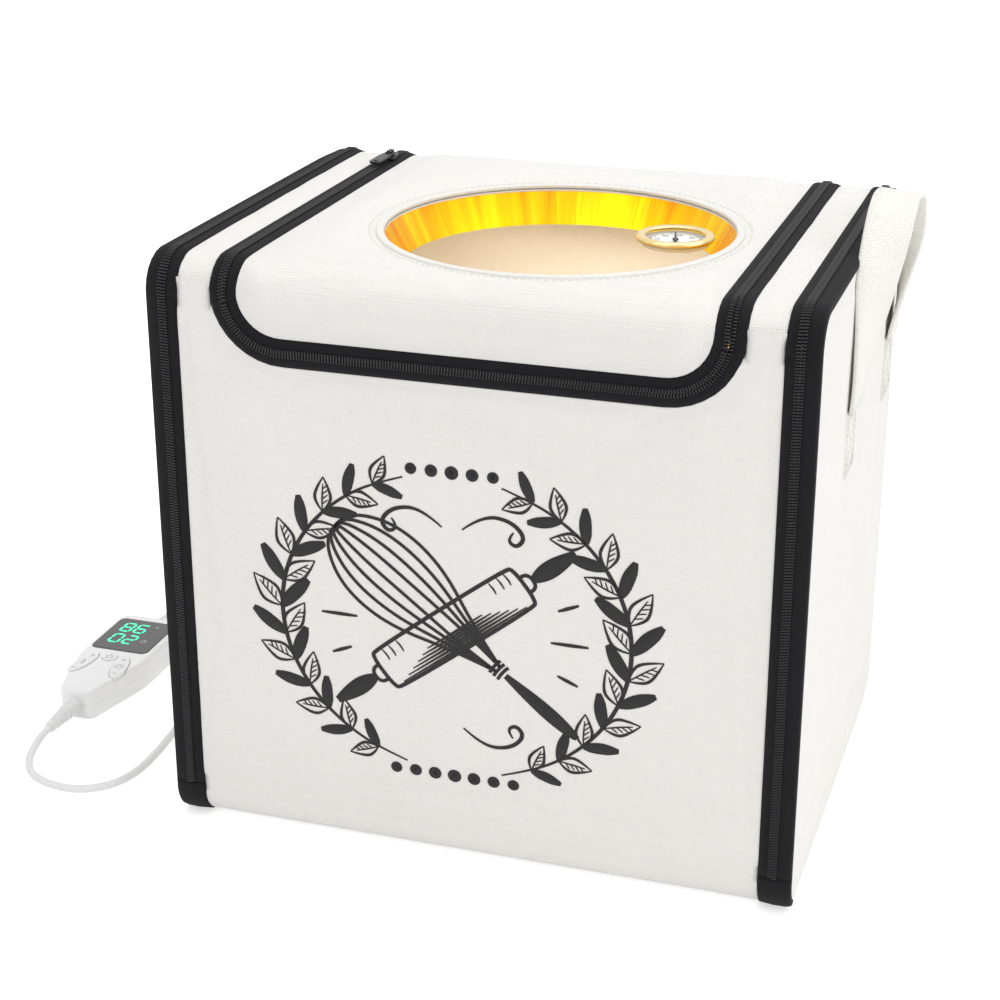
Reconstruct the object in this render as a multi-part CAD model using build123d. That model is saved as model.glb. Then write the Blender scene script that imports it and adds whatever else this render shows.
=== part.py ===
from build123d import *
import math
import os

# Folding dough proofer: a canvas box with padded walls that unzip and fold flat.
# Millimetres. The origin is the middle of the base on the table, +Z is up, the front looks to -Y.

# the box
width = 380
depth = 305
height = 356
wall = 10                  # padded wall: canvas outside, foil-faced board inside
skin = 1.2                 # canvas
seat = 0.1                 # room between the canvas and what fills it
base_height = 25
base_radius = 20           # bottom edges along the front and the back
base_end_radius = 4
top_thick = 22
top_radius = 21.5          # top edges along the front and the back
joint_gap = 0.3
wall_radius = 3            # outer edges of the side walls

# the window lid
lid_half = 143             # the zip seam on each side of the lid
lip_low = 308              # lower edge of the lip that hangs over the front
lip_thick = 6.7
lip_radius = 34
lid_front_radius = 29
notch_margin = 8           # the lip overlaps the cut-out of the front wall by this much
window_x = 13
window_y = -21
window_radius = 105
well_low_radius = 93

# zips: flat tape with a raised coil along the seam
tape_thick = 1.0
coil_thick = 2.6
coil_wide = 2.4
tape_wide = 8.5
side_tape_wide = 6.8

# the dial thermometer in the window
gauge_x = 82
gauge_y = -21
gauge_radius = 22.5

# carry handles on the side walls
handle_y = 30
handle_z = 272
handle_span = 145
handle_rise = 115
strap_wide = 33
strap_thick = 3
handle_lean = 9            # degrees outwards as it stands
tab_thick = 2.6            # sewn tail of the strap, on the wall

# the hand controller, face up on the table
control_x = -312
control_long = 120
control_wide = 50
control_thick = 22
control_wall = 1.8
boot_long = 35

# leads
lead_diameter = 5
gland_y = 80
gland_z = 14
coil_x = -100
coil_y = 252
coil_outer = 37.4          # radius of the outermost turn's middle line
coil_pitch = 5.7
coil_turns = 3             # turns in each of the two layers

half_w = width / 2
half_d = depth / 2
flap_front = -half_d - joint_gap - skin
hinge_z = base_height + joint_gap
top_low = height - top_thick
wall_high = top_low - 0.4
tube_half = half_w - wall - joint_gap


# ---------- helpers ----------

def across(outline, x_low, x_high):
    return extrude(Plane.YZ.offset(x_low) * outline, amount=x_high - x_low)


def facing(outline, y_front, y_back):
    return extrude(Plane.XZ.offset(-y_back) * outline, amount=y_back - y_front)


def upright(outline, z_low, z_high):
    return extrude(Plane.XY.offset(z_low) * outline, amount=z_high - z_low)


def block(low, high):
    size = [b - a for a, b in zip(low, high)]
    middle = [(a + b) / 2 for a, b in zip(low, high)]
    return Pos(*middle) * Box(*size)


def rod(start, end, radius):
    axis = Vector(*end) - Vector(*start)
    return extrude(Plane(origin=start, z_dir=axis) * Circle(radius), amount=axis.length)


def polygon(*points):
    return make_face(Polyline(*points, close=True))


def turned(points, x, y):
    # a round piece from its half section of (radius, height) points
    outline = polygon(*[(r, 0, z) for r, z in points])
    return Pos(x, y, 0) * revolve(outline, Axis.Z)


def top_rounded(front, back, low, high, radius):
    outline = Pos((front + back) / 2, (low + high) / 2) * Rectangle(back - front, high - low)
    return fillet(outline.vertices().sort_by(Axis.Y)[-2:], radius)


def bottom_rounded(half_x, low, high, radius):
    outline = Pos(0, (low + high) / 2) * Rectangle(2 * half_x, high - low)
    return fillet(outline.vertices().sort_by(Axis.Y)[:2], radius)


def both_sides(part):
    return part + mirror(part, about=Plane.YZ)


# ---------- base ----------

def base_body(inset, high):
    outline = bottom_rounded(half_d - inset, inset, high, base_radius - inset)
    body = across(outline, -half_w + inset, half_w - inset)
    ends = body.edges().group_by(Axis.X)[0] + body.edges().group_by(Axis.X)[-1]
    low_ends = [e for e in ends if e.center().Z < high - 0.01]
    return fillet(low_ends, base_end_radius - inset)


def gland_hole():
    return rod((-half_w - 5, gland_y, gland_z), (-half_w + 40, gland_y, gland_z), 4.5)


def base_cover():
    return base_body(0, base_height) - base_body(skin, base_height + 1) - gland_hole()


def base_board():
    low = (-half_w, gland_y - 4.6, gland_z - 4.6)
    lead_slot = block(low, (-half_w + 46, gland_y + 4.6, base_height + 1))
    return base_body(skin + seat, base_height) - lead_slot


def heating_mat():
    pad = Rectangle(300, 210)
    pad = fillet(pad.vertices(), 14)
    return upright(pad, base_height, base_height + 2.6)


def cable_gland():
    # flanged bush in the wall, with a ribbed sleeve that tapers towards the lead
    profile = [(0, -12), (4.4, -12), (4.4, 0), (7, 0), (7, 2.2), (5.8, 2.2)]
    for rib in range(5):
        radius = 5.8 - 0.45 * rib
        start = 4.5 + 6 * rib
        profile += [(radius - 0.9, start), (radius - 0.9, start + 1.6)]
        profile += [(radius, start + 2.2), (radius, start + 5)]
    profile += [(3.4, 35), (0, 35)]
    return Pos(-half_w, gland_y, gland_z) * Rot(0, -90, 0) * turned(profile, 0, 0)


def mat_lead():
    inner = -half_w + 12
    route = [(inner, gland_y, gland_z), (inner + 12, gland_y, gland_z), (inner + 26, gland_y, base_height - 2.2)]
    path = FilletPolyline(*route, radius=10)
    return sweep(Plane(origin=route[0], z_dir=(1, 0, 0)) * Circle(2), path=path)


def base_zip_ends():
    # the last stretch of each side zip, turned under the bottom edge
    outer = bottom_rounded(half_d + tape_thick, -tape_thick, 21.8, base_radius + tape_thick)
    inner = bottom_rounded(half_d, 0, 30, base_radius)
    strip = across(outer - inner, half_w - 18, half_w - base_end_radius)
    ends = strip - block((0, -half_d + 12, -5), (width, half_d - 12, 40))
    return both_sides(ends - block((0, -depth, -9), (width, depth, 2)))


# ---------- side walls ----------

def side_solid(inset, x_low, x_high):
    low = hinge_z + inset
    outline = top_rounded(-half_d + inset, half_d - inset, low, height - inset, top_radius - inset)
    return across(outline, x_low, x_high)


def side_cover():
    body = side_solid(0, half_w - wall, half_w)
    body = fillet(body.faces().sort_by(Axis.X)[-1].edges(), wall_radius)
    body -= side_solid(skin + 1.8, half_w - wall - 1, half_w - skin)
    for leg in (-1, 1):
        y = handle_y + leg * handle_span / 2
        tab = Rectangle(strap_wide, 38)
        tab = fillet(tab.vertices(), 2)
        body += across(Pos(y, handle_z - 21) * tab, half_w - 0.4, half_w + tab_thick)
    return body


def side_board():
    return side_solid(skin + 1.8 + seat, half_w - wall, half_w - skin - seat)


def band(front, low, thick):
    # a strip of even thickness up the front, over the top and down the back, open at the bottom
    outer = top_rounded(front - thick, half_d + thick, low, height + thick, top_radius + thick)
    return outer - top_rounded(front, half_d, low - 5, height, top_radius)


def stringer(seam, toward, wide, front, low):
    # tape and coil of one zip half, from its seam toward one side (+1 is +X)
    tape = sorted([seam, seam + toward * wide])
    coil = sorted([seam, seam + toward * coil_wide])
    return across(band(front, low, tape_thick), *tape) + across(band(front, low, coil_thick), *coil)


def side_zip():
    return stringer(half_w - wall + 0.15, 1, side_tape_wide, -half_d, hinge_z + 0.7)


# ---------- front and back walls ----------

def wall_outline(inset):
    tall = wall_high - hinge_z - 2 * inset
    return Pos(0, (hinge_z + wall_high) / 2) * Rectangle(2 * (tube_half - inset), tall)


def notch_outline(grow):
    half = lid_half - notch_margin + grow
    return bottom_rounded(half, lip_low + notch_margin - grow, height, lip_radius - notch_margin)


def front_cover():
    body = facing(wall_outline(0) - notch_outline(0), -half_d, -half_d + wall)
    return body - facing(wall_outline(skin) - notch_outline(skin), -half_d + skin, -half_d + wall + 1)


def front_board():
    outline = wall_outline(skin + seat) - notch_outline(skin + seat)
    return facing(outline, -half_d + skin + seat, -half_d + wall)


def back_cover():
    body = facing(wall_outline(0), half_d - wall, half_d)
    return body - facing(wall_outline(skin), half_d - wall - 1, half_d - skin)


def back_board():
    return facing(wall_outline(skin + seat), half_d - wall, half_d - skin - seat)


def straight_zip(y, outward, low, high):
    # the zip half along each side edge of the front or back wall
    seam = half_w - wall - 0.15
    run = Rectangle(tape_wide, tape_thick, align=(Align.MAX, Align.MIN))
    run += Rectangle(coil_wide, coil_thick, align=(Align.MAX, Align.MIN))
    if outward < 0:
        run = mirror(run, about=Plane.XZ)
    return both_sides(upright(Pos(seam, y) * run, low, high))


def front_zips():
    return straight_zip(-half_d, -1, hinge_z + 0.7, wall_high - 0.2)


def back_zips():
    return straight_zip(half_d, 1, hinge_z + 0.7, wall_high - 3)


def lip_outline(grow):
    return bottom_rounded(lid_half - 0.3 + grow, lip_low - grow, height + 20, lip_radius + grow)


def notch_zip():
    # the zip half that is sewn to the front wall around the lip
    tape = facing(lip_outline(0.45 + tape_wide) - lip_outline(0.45), -half_d - tape_thick, -half_d)
    coil = facing(lip_outline(0.45 + coil_wide) - lip_outline(0.45), -half_d - coil_thick, -half_d)
    return (tape + coil) & block((-half_w, -depth, 0), (half_w, 0, wall_high - 0.2))


# ---------- top ----------

def rail_solid(inset):
    radius = top_radius - 2 * inset
    outline = top_rounded(-half_d + inset, half_d - inset, top_low + inset, height - inset, radius)
    return across(outline, lid_half + joint_gap / 2 + inset, tube_half - inset)


def top_rails():
    return both_sides(rail_solid(0) - rail_solid(skin))


def rail_cores():
    return both_sides(rail_solid(skin + seat))


def rail_zips():
    fold_room = block((0, half_d - 2, 0), (width, half_d + 9, top_low + 3))
    outer = stringer(half_w - wall - 0.15, -1, tape_wide, -half_d, top_low) - fold_room
    inner = stringer(lid_half + 0.15, 1, tape_wide, -half_d, top_low) - fold_room
    return both_sides(outer) + both_sides(inner)


# ---------- lid ----------

def lid_slab(inset):
    radius = top_radius - 2 * inset
    outline = top_rounded(flap_front + inset, half_d - inset, top_low + inset, height - inset, radius)
    half = lid_half - 0.3 - inset
    return across(outline, -half, half)


def lid_flap():
    # the thin edge of the lip, which carries the zip
    sheet = facing(lip_outline(0), flap_front, -half_d - joint_gap)
    return sheet & block((-width, -depth, 0), (width, 0, top_low + 0.4))


def lip_pad_outline(inset):
    half = lid_half - 0.3 - tape_wide - inset
    return bottom_rounded(half, lip_low + 0.5 + inset, height + 20, lip_radius - 4)


def lip_pad(inset):
    # the padded front of the lid, rolled over the edge and down to the hem
    front = -half_d - joint_gap - lip_thick + inset
    back = -half_d - joint_gap - 0.1 - inset / 2
    inside = front + lid_front_radius + 9
    low = top_low + inset
    high = height - inset
    hem = lip_low + 0.5 + inset
    radius = lid_front_radius - inset
    edges = [
        Line((inside, low), (inside, high)),
        Line((inside, high), (front + radius, high)),
        CenterArc((front + radius, high - radius), radius, 90, 90),
        Line((front, high - radius), (front, hem)),
        Line((front, hem), (back, hem)),
        Line((back, hem), (back, low)),
        Line((back, low), (inside, low)),
    ]
    body = across(make_face(Wire(edges)), -lid_half, lid_half)
    return body & facing(lip_pad_outline(inset), -depth, 0)


def well(grow):
    # the sight well under the window: a shallow funnel through the lid
    low = top_low - 1
    slope = (window_radius - well_low_radius) / (height - top_low)
    low_radius = well_low_radius - slope + grow
    funnel = Cone(low_radius, window_radius + slope + grow, height + 2 - top_low)
    return Pos(window_x, window_y, (low + height + 1) / 2) * funnel


def window_seat():
    return Pos(window_x, window_y, height) * Cylinder(window_radius + 2.6, 6)


def lid_cover():
    body = lid_slab(0) + lid_flap() + lip_pad(0)
    body -= lid_slab(skin) + lip_pad(skin)
    low = (-lid_half + 2, -half_d + 1, top_low - 1)
    body -= block(low, (lid_half - 2, half_d - 2, top_low + skin + 0.01))
    return body - well(0.9) - window_seat()


def lid_foam():
    return lid_slab(skin + seat) + lip_pad(skin + seat) - well(0.9) - window_seat()


def lid_lining():
    # foil sheet under the lid, drawn up into the well as its wall
    low = (-lid_half + 2.1, -half_d + 1.1, top_low)
    sheet = block(low, (lid_half - 2.1, half_d - 2.1, top_low + skin - 0.1))
    wall_of_well = well(0.8) & block((-width, -depth, top_low), (width, depth, height - 3.1))
    return sheet + wall_of_well - well(0)


def window_ring():
    r = window_radius
    z = height
    rolled = [(r - 2, z - 3), (r + 2.5, z - 3), (r + 2.5, z + 0.4), (r + 1.6, z + 1), (r - 1.2, z + 1)]
    groove = [(r - 2, z + 0.4), (r - 2, z - 1), (r, z - 1), (r, z - 2), (r - 2, z - 2)]
    return turned(rolled + groove, window_x, window_y)


def window_film():
    sheet = Pos(window_x, window_y, height - 1.5) * Cylinder(window_radius - 0.1, 0.8)
    return sheet - Pos(gauge_x, gauge_y, height) * Cylinder(19.6, 10)


def lid_zip():
    # the zip half on the lid: up both sides of the top, and around the lip outside its padding
    above = block((0, -depth, top_low + 3), (width, depth, height + 9))
    below = block((-width, -depth, 0), (width, 0, top_low + 3))
    swing_room = block((0, half_d - 12, 0), (width, depth, top_low + 12))
    top_runs = (stringer(lid_half - 0.3, -1, tape_wide, flap_front, top_low) & above) - swing_room
    tape = facing(lip_outline(0), flap_front - tape_thick, flap_front)
    coil = facing(lip_outline(0) - lip_outline(-coil_wide), flap_front - coil_thick, flap_front)
    around_lip = (tape + coil) & below
    return both_sides(top_runs) + around_lip - lip_pad(0)


# ---------- dial thermometer ----------

def gauge_case():
    z = height - 1.1
    outside = [(0, z - 12), (19.4, z - 12), (19.4, z), (20.9, z), (20.9, z + 0.8), (18.6, z + 0.8)]
    inside = [(18.6, z - 1.4), (16.4, z - 1.4), (16.4, z - 11), (0, z - 11)]
    return turned(outside + inside, gauge_x, gauge_y)


def gauge_dial():
    z = height - 2.5
    return turned([(0.9, z), (18.5, z), (18.5, z + 0.6), (0.9, z + 0.6)], gauge_x, gauge_y)


def gauge_lens():
    z = height - 0.25
    return Pos(gauge_x, gauge_y, z + 0.5) * Cylinder(20.8, 1)


def gauge_bezel():
    z = height - 1.1
    r = gauge_radius
    outside = [(r - 1.45, z), (r, z), (r, z + 1.6), (r - 0.6, z + 2.7), (r - 1.8, z + 3.3)]
    inside = [(r - 3.2, z + 3.1), (r - 3.8, z + 2.5), (r - 3.8, z + 1.95), (r - 1.45, z + 1.95)]
    return turned(outside + inside, gauge_x, gauge_y)


def gauge_needle():
    z = height - 1.6
    hub = Pos(0, 0, z + 0.4) * Cylinder(1.7, 0.8)
    pin = Pos(0, 0, z - 1.8) * Cylinder(0.6, 4)
    pointer = polygon((-0.9, -4.5), (0.9, -4.5), (0.35, 15), (-0.35, 15))
    needle = hub + pin + upright(pointer, z + 0.1, z + 0.7)
    return Pos(gauge_x, gauge_y, 0) * Rot(0, 0, 13) * needle


# ---------- handles ----------

def handle_foot():
    # the line where the strap turns, outside its sewn tail
    return half_w + tab_thick + 0.2 + strap_thick / 2


def handle_feet():
    outer_half = handle_span / 2 + strap_wide / 2
    inner_half = handle_span / 2 - strap_wide / 2
    feet = rod((0, -outer_half, 0), (0, outer_half, 0), strap_thick / 2)
    return feet - block((-9, -inner_half, -9), (9, inner_half, 9))


def hanging_handle():
    # the strap lies flat on the wall
    outer_half = handle_span / 2 + strap_wide / 2
    inner_half = handle_span / 2 - strap_wide / 2
    outer = top_rounded(-outer_half, outer_half, 0, handle_rise, 62)
    inner = top_rounded(-inner_half, inner_half, -5, handle_rise - strap_wide, 36)
    arch = across(outer - inner, -strap_thick / 2, strap_thick / 2)
    return Pos(handle_foot(), handle_y, handle_z) * Rot(180, 0, 0) * (arch + handle_feet())


def strap_middle(angle):
    # middle line of the standing strap, by angle from one foot over the crown to the other
    across_wall = math.copysign(abs(math.cos(angle)) ** 0.8, -math.cos(angle))
    rise = abs(math.sin(angle)) ** 0.8
    return Vector(0, across_wall * handle_span / 2, rise * (handle_rise - strap_thick / 2))


def strap_section(angle):
    # flat on the wall at the feet, turned a quarter at the crown
    step = 0.01
    ahead = strap_middle(min(math.pi, angle + step)) - strap_middle(max(0, angle - step))
    plane = Plane(origin=strap_middle(angle), x_dir=(1, 0, 0), z_dir=ahead)
    turn = 90 * (1 - abs(math.sin(angle)) ** 1.4)
    return plane * Rot(0, 0, turn) * Rectangle(strap_wide, strap_thick)


def standing_handle():
    # the strap turns over between its feet and its crown, as webbing does
    count = 14
    strap = loft([strap_section(math.pi * i / count) for i in range(count + 1)])
    return Pos(handle_foot(), handle_y, handle_z) * Rot(0, handle_lean, 0) * strap


# ---------- zip sliders: drawn with the zip along Y, its own tape at +X, the pull towards -Y ----------

def slider():
    nose = [(4.6, 3), (2.4, 8), (-2.4, 8), (-4.6, 3)]
    outline = polygon((-4.6, -7), (-2.6, -8.5), (2.6, -8.5), (4.6, -7), *nose)
    plate = upright(outline, coil_thick + 0.3, coil_thick + 1.7)
    flange = block((3.1, -6.5, tape_thick + 0.3), (4.6, 3, coil_thick + 0.4))
    z = coil_thick + 1.7
    crown = [(4.4, z + 2.4), (2.4, z + 3.2), (-3.4, z + 3.2), (-5, z + 2.4)]
    arch = polygon((-5.6, z - 0.5), (5.2, z - 0.5), *crown)
    eye = polygon((-3.2, z + 0.05), (2.4, z + 0.05), (2, z + 2.2), (-2.8, z + 2.2))
    return plate + flange + across(arch - eye, -1.2, 1.2)


def pull():
    z = coil_thick + 2.75
    pin = rod((-3.1, 0, z), (3.1, 0, z), 0.75)
    arm = block((1.6, -8, z - 0.7), (3.1, 0, z + 0.7))
    grip = Pos(0, -19) * Rectangle(7.4, 24)
    grip = fillet(grip.vertices(), 3)
    grip -= Pos(0, -27) * Circle(1.6)
    return pin + arm + mirror(arm, about=Plane.YZ) + upright(grip, z - 0.7, z + 0.7)


def on_back_edge(piece):
    # along Z on the back edge of the right side wall, pull hanging down
    return Pos(half_w - wall, half_d, 78) * Rot(90, 0, 0) * mirror(piece, about=Plane.XY)


def on_lid_seam(piece):
    # along Y on the left seam of the lid, parked at the back, pull towards the front
    return Pos(-lid_half, 112, height) * piece


# ---------- controller ----------

def control_outline(inset):
    half = control_long / 2 - inset
    side = control_wide / 2 - inset
    foot = 12 - inset * 0.8
    right = [(foot, -half), (side, -6), (side, half)]
    outline = polygon(*right, *[(-x, y) for x, y in reversed(right)])
    outline = fillet(outline.vertices().sort_by(Axis.Y)[:2], 7 - inset)
    outline = fillet([v for v in outline.vertices() if abs(v.Y + 6) < 0.1], 45)
    return fillet(outline.vertices().sort_by(Axis.Y)[-2:], 9 - inset)


def control_solid(inset, low, high):
    return Pos(control_x, 0, 0) * upright(control_outline(inset), low, high)


def rocker_outline(side, grow):
    return Pos(side * 13.8, -21) * Rot(0, 0, side * 10) * Ellipse(5.4 + grow, 16 + grow)


def lead_bores():
    middle = control_thick / 2
    far = control_long / 2 + 5
    return rod((control_x, -far, middle), (control_x, far, middle), 3.6)


def controller_back():
    middle = control_thick / 2
    body = control_solid(0, 0, middle)
    body = fillet(body.faces().sort_by(Axis.Z)[0].edges(), 3)
    return body - control_solid(control_wall, control_wall, middle + 1) - lead_bores()


def controller_front():
    middle = control_thick / 2 + 0.1
    body = control_solid(0, middle, control_thick)
    body = fillet(body.faces().sort_by(Axis.Z)[-1].edges(), 2.5)
    body -= control_solid(control_wall, middle - 1, control_thick - control_wall)
    pane = fillet(Rectangle(43.2, 49.2).vertices(), 5)
    opening = fillet(Rectangle(38, 44).vertices(), 3)
    body -= Pos(control_x, 27, 0) * upright(pane, control_thick - 1.3, control_thick + 1)
    body -= Pos(control_x, 27, 0) * upright(opening, middle, control_thick)
    body -= Pos(control_x, -8.5, middle) * Cylinder(5.7, 40)
    for side in (-1, 1):
        body -= Pos(control_x, 0, 0) * upright(rocker_outline(side, 0.45), middle, control_thick + 1)
    return body - lead_bores()


def display_window():
    pane = fillet(Rectangle(43, 49).vertices(), 4.9)
    lens = Pos(control_x, 27, 0) * upright(pane, control_thick - 1.2, control_thick + 0.6)
    top_edges = lens.faces().sort_by(Axis.Z)[-1].edges()
    return fillet(top_edges, 0.5)


def control_board():
    board = Pos(control_x, -2, 0) * upright(Rectangle(20, 96), 12.2, 13.8)
    upper = Pos(control_x, 26, 0) * upright(Rectangle(42, 46), 12.2, 13.8)
    digits = Pos(control_x, 27, 0) * upright(Rectangle(34, 38), 13.8, control_thick - 1.3)
    return board + upper + digits


def power_button():
    cap = Pos(control_x, -8.5, control_thick - 1) * Cylinder(5.4, 3.6)
    cap = fillet(cap.faces().sort_by(Axis.Z)[-1].edges(), 0.6)
    return cap + Pos(control_x, -8.5, control_thick - 4.5) * Cylinder(1.8, 4)


def rocker(side):
    cap = upright(rocker_outline(side, 0), control_thick - 2.4, control_thick + 0.8)
    cap = fillet(cap.faces().sort_by(Axis.Z)[-1].edges(), 0.6)
    x = side * 13.8
    z = control_thick - 3.4
    pin = rod((x - 3, -21, z), (x + 3, -21, z), 1.2)
    return Pos(control_x, 0, 0) * (cap + pin)


def lead_boot(end):
    # ribbed strain relief, from inside the housing out to the lead
    profile = [(0, -6), (3.5, -6), (3.5, 0), (5.8, 0), (5.8, 3)]
    for rib in range(6):
        radius = 5.6 - 0.35 * rib
        start = 4 + 5 * rib
        profile += [(radius - 0.9, start), (radius - 0.9, start + 1.4)]
        profile += [(radius, start + 1.8), (radius, start + 4.2)]
    profile += [(3.3, boot_long), (0, boot_long)]
    boot = Rot(-90 * end, 0, 0) * turned(profile, 0, 0)
    return Pos(control_x, end * control_long / 2, control_thick / 2) * boot


# ---------- leads ----------

box_route = [
    (-225, 80, 14), (-250, 80, 14), (-268, 61, 8), (-267, 34, 2.8), (-254, 8, 2.5), (-243, -28, 2.5),
    (-237, -78, 2.5), (-237, -126, 2.5), (-258, -150, 2.5), (-290, -148, 2.5), (-309, -133, 3.5),
    (-312, -108, 11), (-312, -95, 11),
]
supply_route = [
    (-312, 95, 11), (-312, 108, 11), (-310, 133, 3.5), (-304, 165, 2.5), (-287, 194, 2.5), (-258, 211, 2.5),
    (-221, 217, 2.5), (-181, 219.5, 2.5), (-140, 214.6, 2.5), (-100, 214.6, 2.5),
]


def lead_radii(route):
    points = [Vector(*p) for p in route]
    radii = []
    for before, here, after in zip(points, points[1:], points[2:]):
        turn = (here - before).get_angle(after - here)
        shorter = min((here - before).length, (after - here).length)
        radii.append(0.45 * shorter / math.tan(math.radians(turn / 2)))
    return radii


def lead(name, route):
    radii = lead_radii(route)
    path = FilletPolyline(*route, radius=radii)
    section = Plane(origin=route[0], z_dir=Vector(*route[1]) - Vector(*route[0])) * Circle(lead_diameter / 2)
    tube = sweep(section, path=path)
    ideal = math.pi * lead_diameter ** 2 / 4 * path.length
    print(name, "length", round(path.length), "least radius", round(min(radii), 1))
    print(name, "volume over the ideal", round(tube.volume / ideal, 4))
    return tube


def turn_point(turns):
    # middle line of the coiled lead after some turns: in, half a turn up, and out again
    reversal = coil_turns + 0.25
    radius = coil_outer - coil_pitch * (reversal - abs(turns - reversal))
    share = min(1, max(0, 2 * (turns - coil_turns)))
    lift = (lead_diameter + 0.6) * share * share * (3 - 2 * share)
    angle = 2 * math.pi * turns - math.pi / 2
    return Vector(coil_x + radius * math.cos(angle), coil_y + radius * math.sin(angle), lead_diameter / 2 + lift)


def turn_heading(turns):
    step = 0.002
    if turns < step:
        return Vector(1, 0, 0)
    if turns > 2 * coil_turns + 0.5 - step:
        return Vector(-1, 0, 0)
    return (turn_point(turns + step) - turn_point(turns - step)).normalized()


def double_arc(start, start_heading, end, end_heading):
    chord = end - start
    both = start_heading + end_heading
    spread = 2 * (1 - start_heading.dot(end_heading))
    along = chord.dot(both)
    reach = (-along + math.sqrt(along ** 2 + spread * chord.dot(chord))) / spread
    middle = (start + start_heading * reach + end - end_heading * reach) * 0.5
    first = Edge.make_tangent_arc(start, start_heading, middle)
    second = Edge.make_tangent_arc(middle, first % 1, end)
    return [first, second]


def supply_coil():
    quarters = 4 * (2 * coil_turns) + 2
    edges = []
    for quarter in range(quarters):
        a = quarter / 4
        b = (quarter + 1) / 4
        edges += double_arc(turn_point(a), turn_heading(a), turn_point(b), turn_heading(b))
    last = edges[-1] @ 1
    edges.append(Edge.make_line(last, last + Vector(-12, 0, 0)))
    path = Wire(edges)
    tube = sweep(Plane(origin=path @ 0, z_dir=(1, 0, 0)) * Circle(lead_diameter / 2), path=path)
    print("coil length", round(path.length), "least gap between turns", round(least_gap(path), 2))
    return tube


def least_gap(path):
    count = 900
    points = [path @ (i / count) for i in range(count + 1)]
    apart = int(count * 30 / path.length)
    gaps = []
    for i in range(count):
        gaps += [(points[i] - far).length for far in points[i + apart::2]]
    return min(gaps) - lead_diameter


# ---------- plug ----------

plug_tip = (coil_x - 12, coil_y + coil_outer, lead_diameter * 1.5 + 0.6)


def plug_body():
    profile = [(0, 0), (3.4, 0)]
    for rib in range(4):
        radius = 3.9 + 0.5 * rib
        start = 1.5 + 5.5 * rib
        profile += [(radius, start), (radius, start + 2.8)]
        profile += [(radius - 0.8, start + 3.3), (radius - 0.8, start + 4.8)]
    profile += [(5.6, 24), (0, 24)]
    sleeve = turned(profile, 0, 0)
    low = -plug_tip[2]
    tall = 2 * plug_tip[2]
    neck = Pos(0, 0, 24) * Rectangle(tall * 0.8, 15)
    face = Pos(0, 0, 48) * Rectangle(tall, 27)
    grip = loft([fillet(neck.vertices(), 4), fillet(face.vertices(), 5)])
    grip = fillet(grip.faces().sort_by(Axis.Z)[-1].edges(), 1.2)
    return Pos(*plug_tip) * Rot(0, -90, 0) * (sleeve + grip)


def plug_blades():
    x = plug_tip[0] - 48
    blade = fillet(Rectangle(17, 6.3).vertices().sort_by(Axis.X)[:2], 1.4)
    blade -= Pos(-5.2, 0) * Circle(1.5)
    blade = Pos(x - 8.5, plug_tip[1] - 0.75 + 6.35, plug_tip[2]) * Rot(-90, 0, 0) * extrude(blade, amount=1.5)
    return blade + Pos(0, -12.7, 0) * blade


# ---------- write the pieces ----------

def flip(piece):
    return mirror(piece, about=Plane.YZ)


def build():
    right_cover = side_cover()
    right_board = side_board()
    right_zip = side_zip()
    right_slider = on_back_edge(slider())
    right_pull = on_back_edge(pull())
    return {
        "base_cover": base_cover(),
        "base_board": base_board(),
        "heating_mat": heating_mat(),
        "cable_gland": cable_gland(),
        "mat_lead": mat_lead(),
        "base_zip_ends": base_zip_ends(),
        "right_cover": right_cover,
        "right_board": right_board,
        "right_zip": right_zip,
        "right_handle": standing_handle(),
        "right_slider": right_slider,
        "right_pull": right_pull,
        "left_cover": flip(right_cover),
        "left_board": flip(right_board),
        "left_zip": flip(right_zip),
        "left_handle": flip(hanging_handle()),
        "left_slider": flip(right_slider),
        "left_pull": flip(right_pull),
        "front_cover": front_cover(),
        "front_board": front_board(),
        "front_zips": front_zips(),
        "notch_zip": notch_zip(),
        "back_cover": back_cover(),
        "back_board": back_board(),
        "back_zips": back_zips(),
        "top_rails": top_rails(),
        "rail_cores": rail_cores(),
        "rail_zips": rail_zips(),
        "lid_cover": lid_cover(),
        "lid_foam": lid_foam(),
        "lid_lining": lid_lining(),
        "lid_zip": lid_zip(),
        "window_ring": window_ring(),
        "window_film": window_film(),
        "lid_slider": on_lid_seam(slider()),
        "lid_pull": on_lid_seam(pull()),
        "gauge_case": gauge_case(),
        "gauge_dial": gauge_dial(),
        "gauge_lens": gauge_lens(),
        "gauge_bezel": gauge_bezel(),
        "gauge_needle": gauge_needle(),
        "controller_back": controller_back(),
        "controller_front": controller_front(),
        "display_window": display_window(),
        "control_board": control_board(),
        "power_button": power_button(),
        "temp_rocker": rocker(-1),
        "time_rocker": rocker(1),
        "button_end_boot": lead_boot(-1),
        "display_end_boot": lead_boot(1),
        "box_lead": lead("box_lead", box_route),
        "supply_lead": lead("supply_lead", supply_route),
        "supply_coil": supply_coil(),
        "plug_body": plug_body(),
        "plug_blades": plug_blades(),
    }


os.makedirs("parts", exist_ok=True)
for name, piece in build().items():
    piece.label = name
    export_step(piece, f"parts/{name}.step")
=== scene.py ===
import bpy
import bmesh
import math
from mathutils import Matrix, Vector, noise
from mathutils.bvhtree import BVHTree


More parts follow.
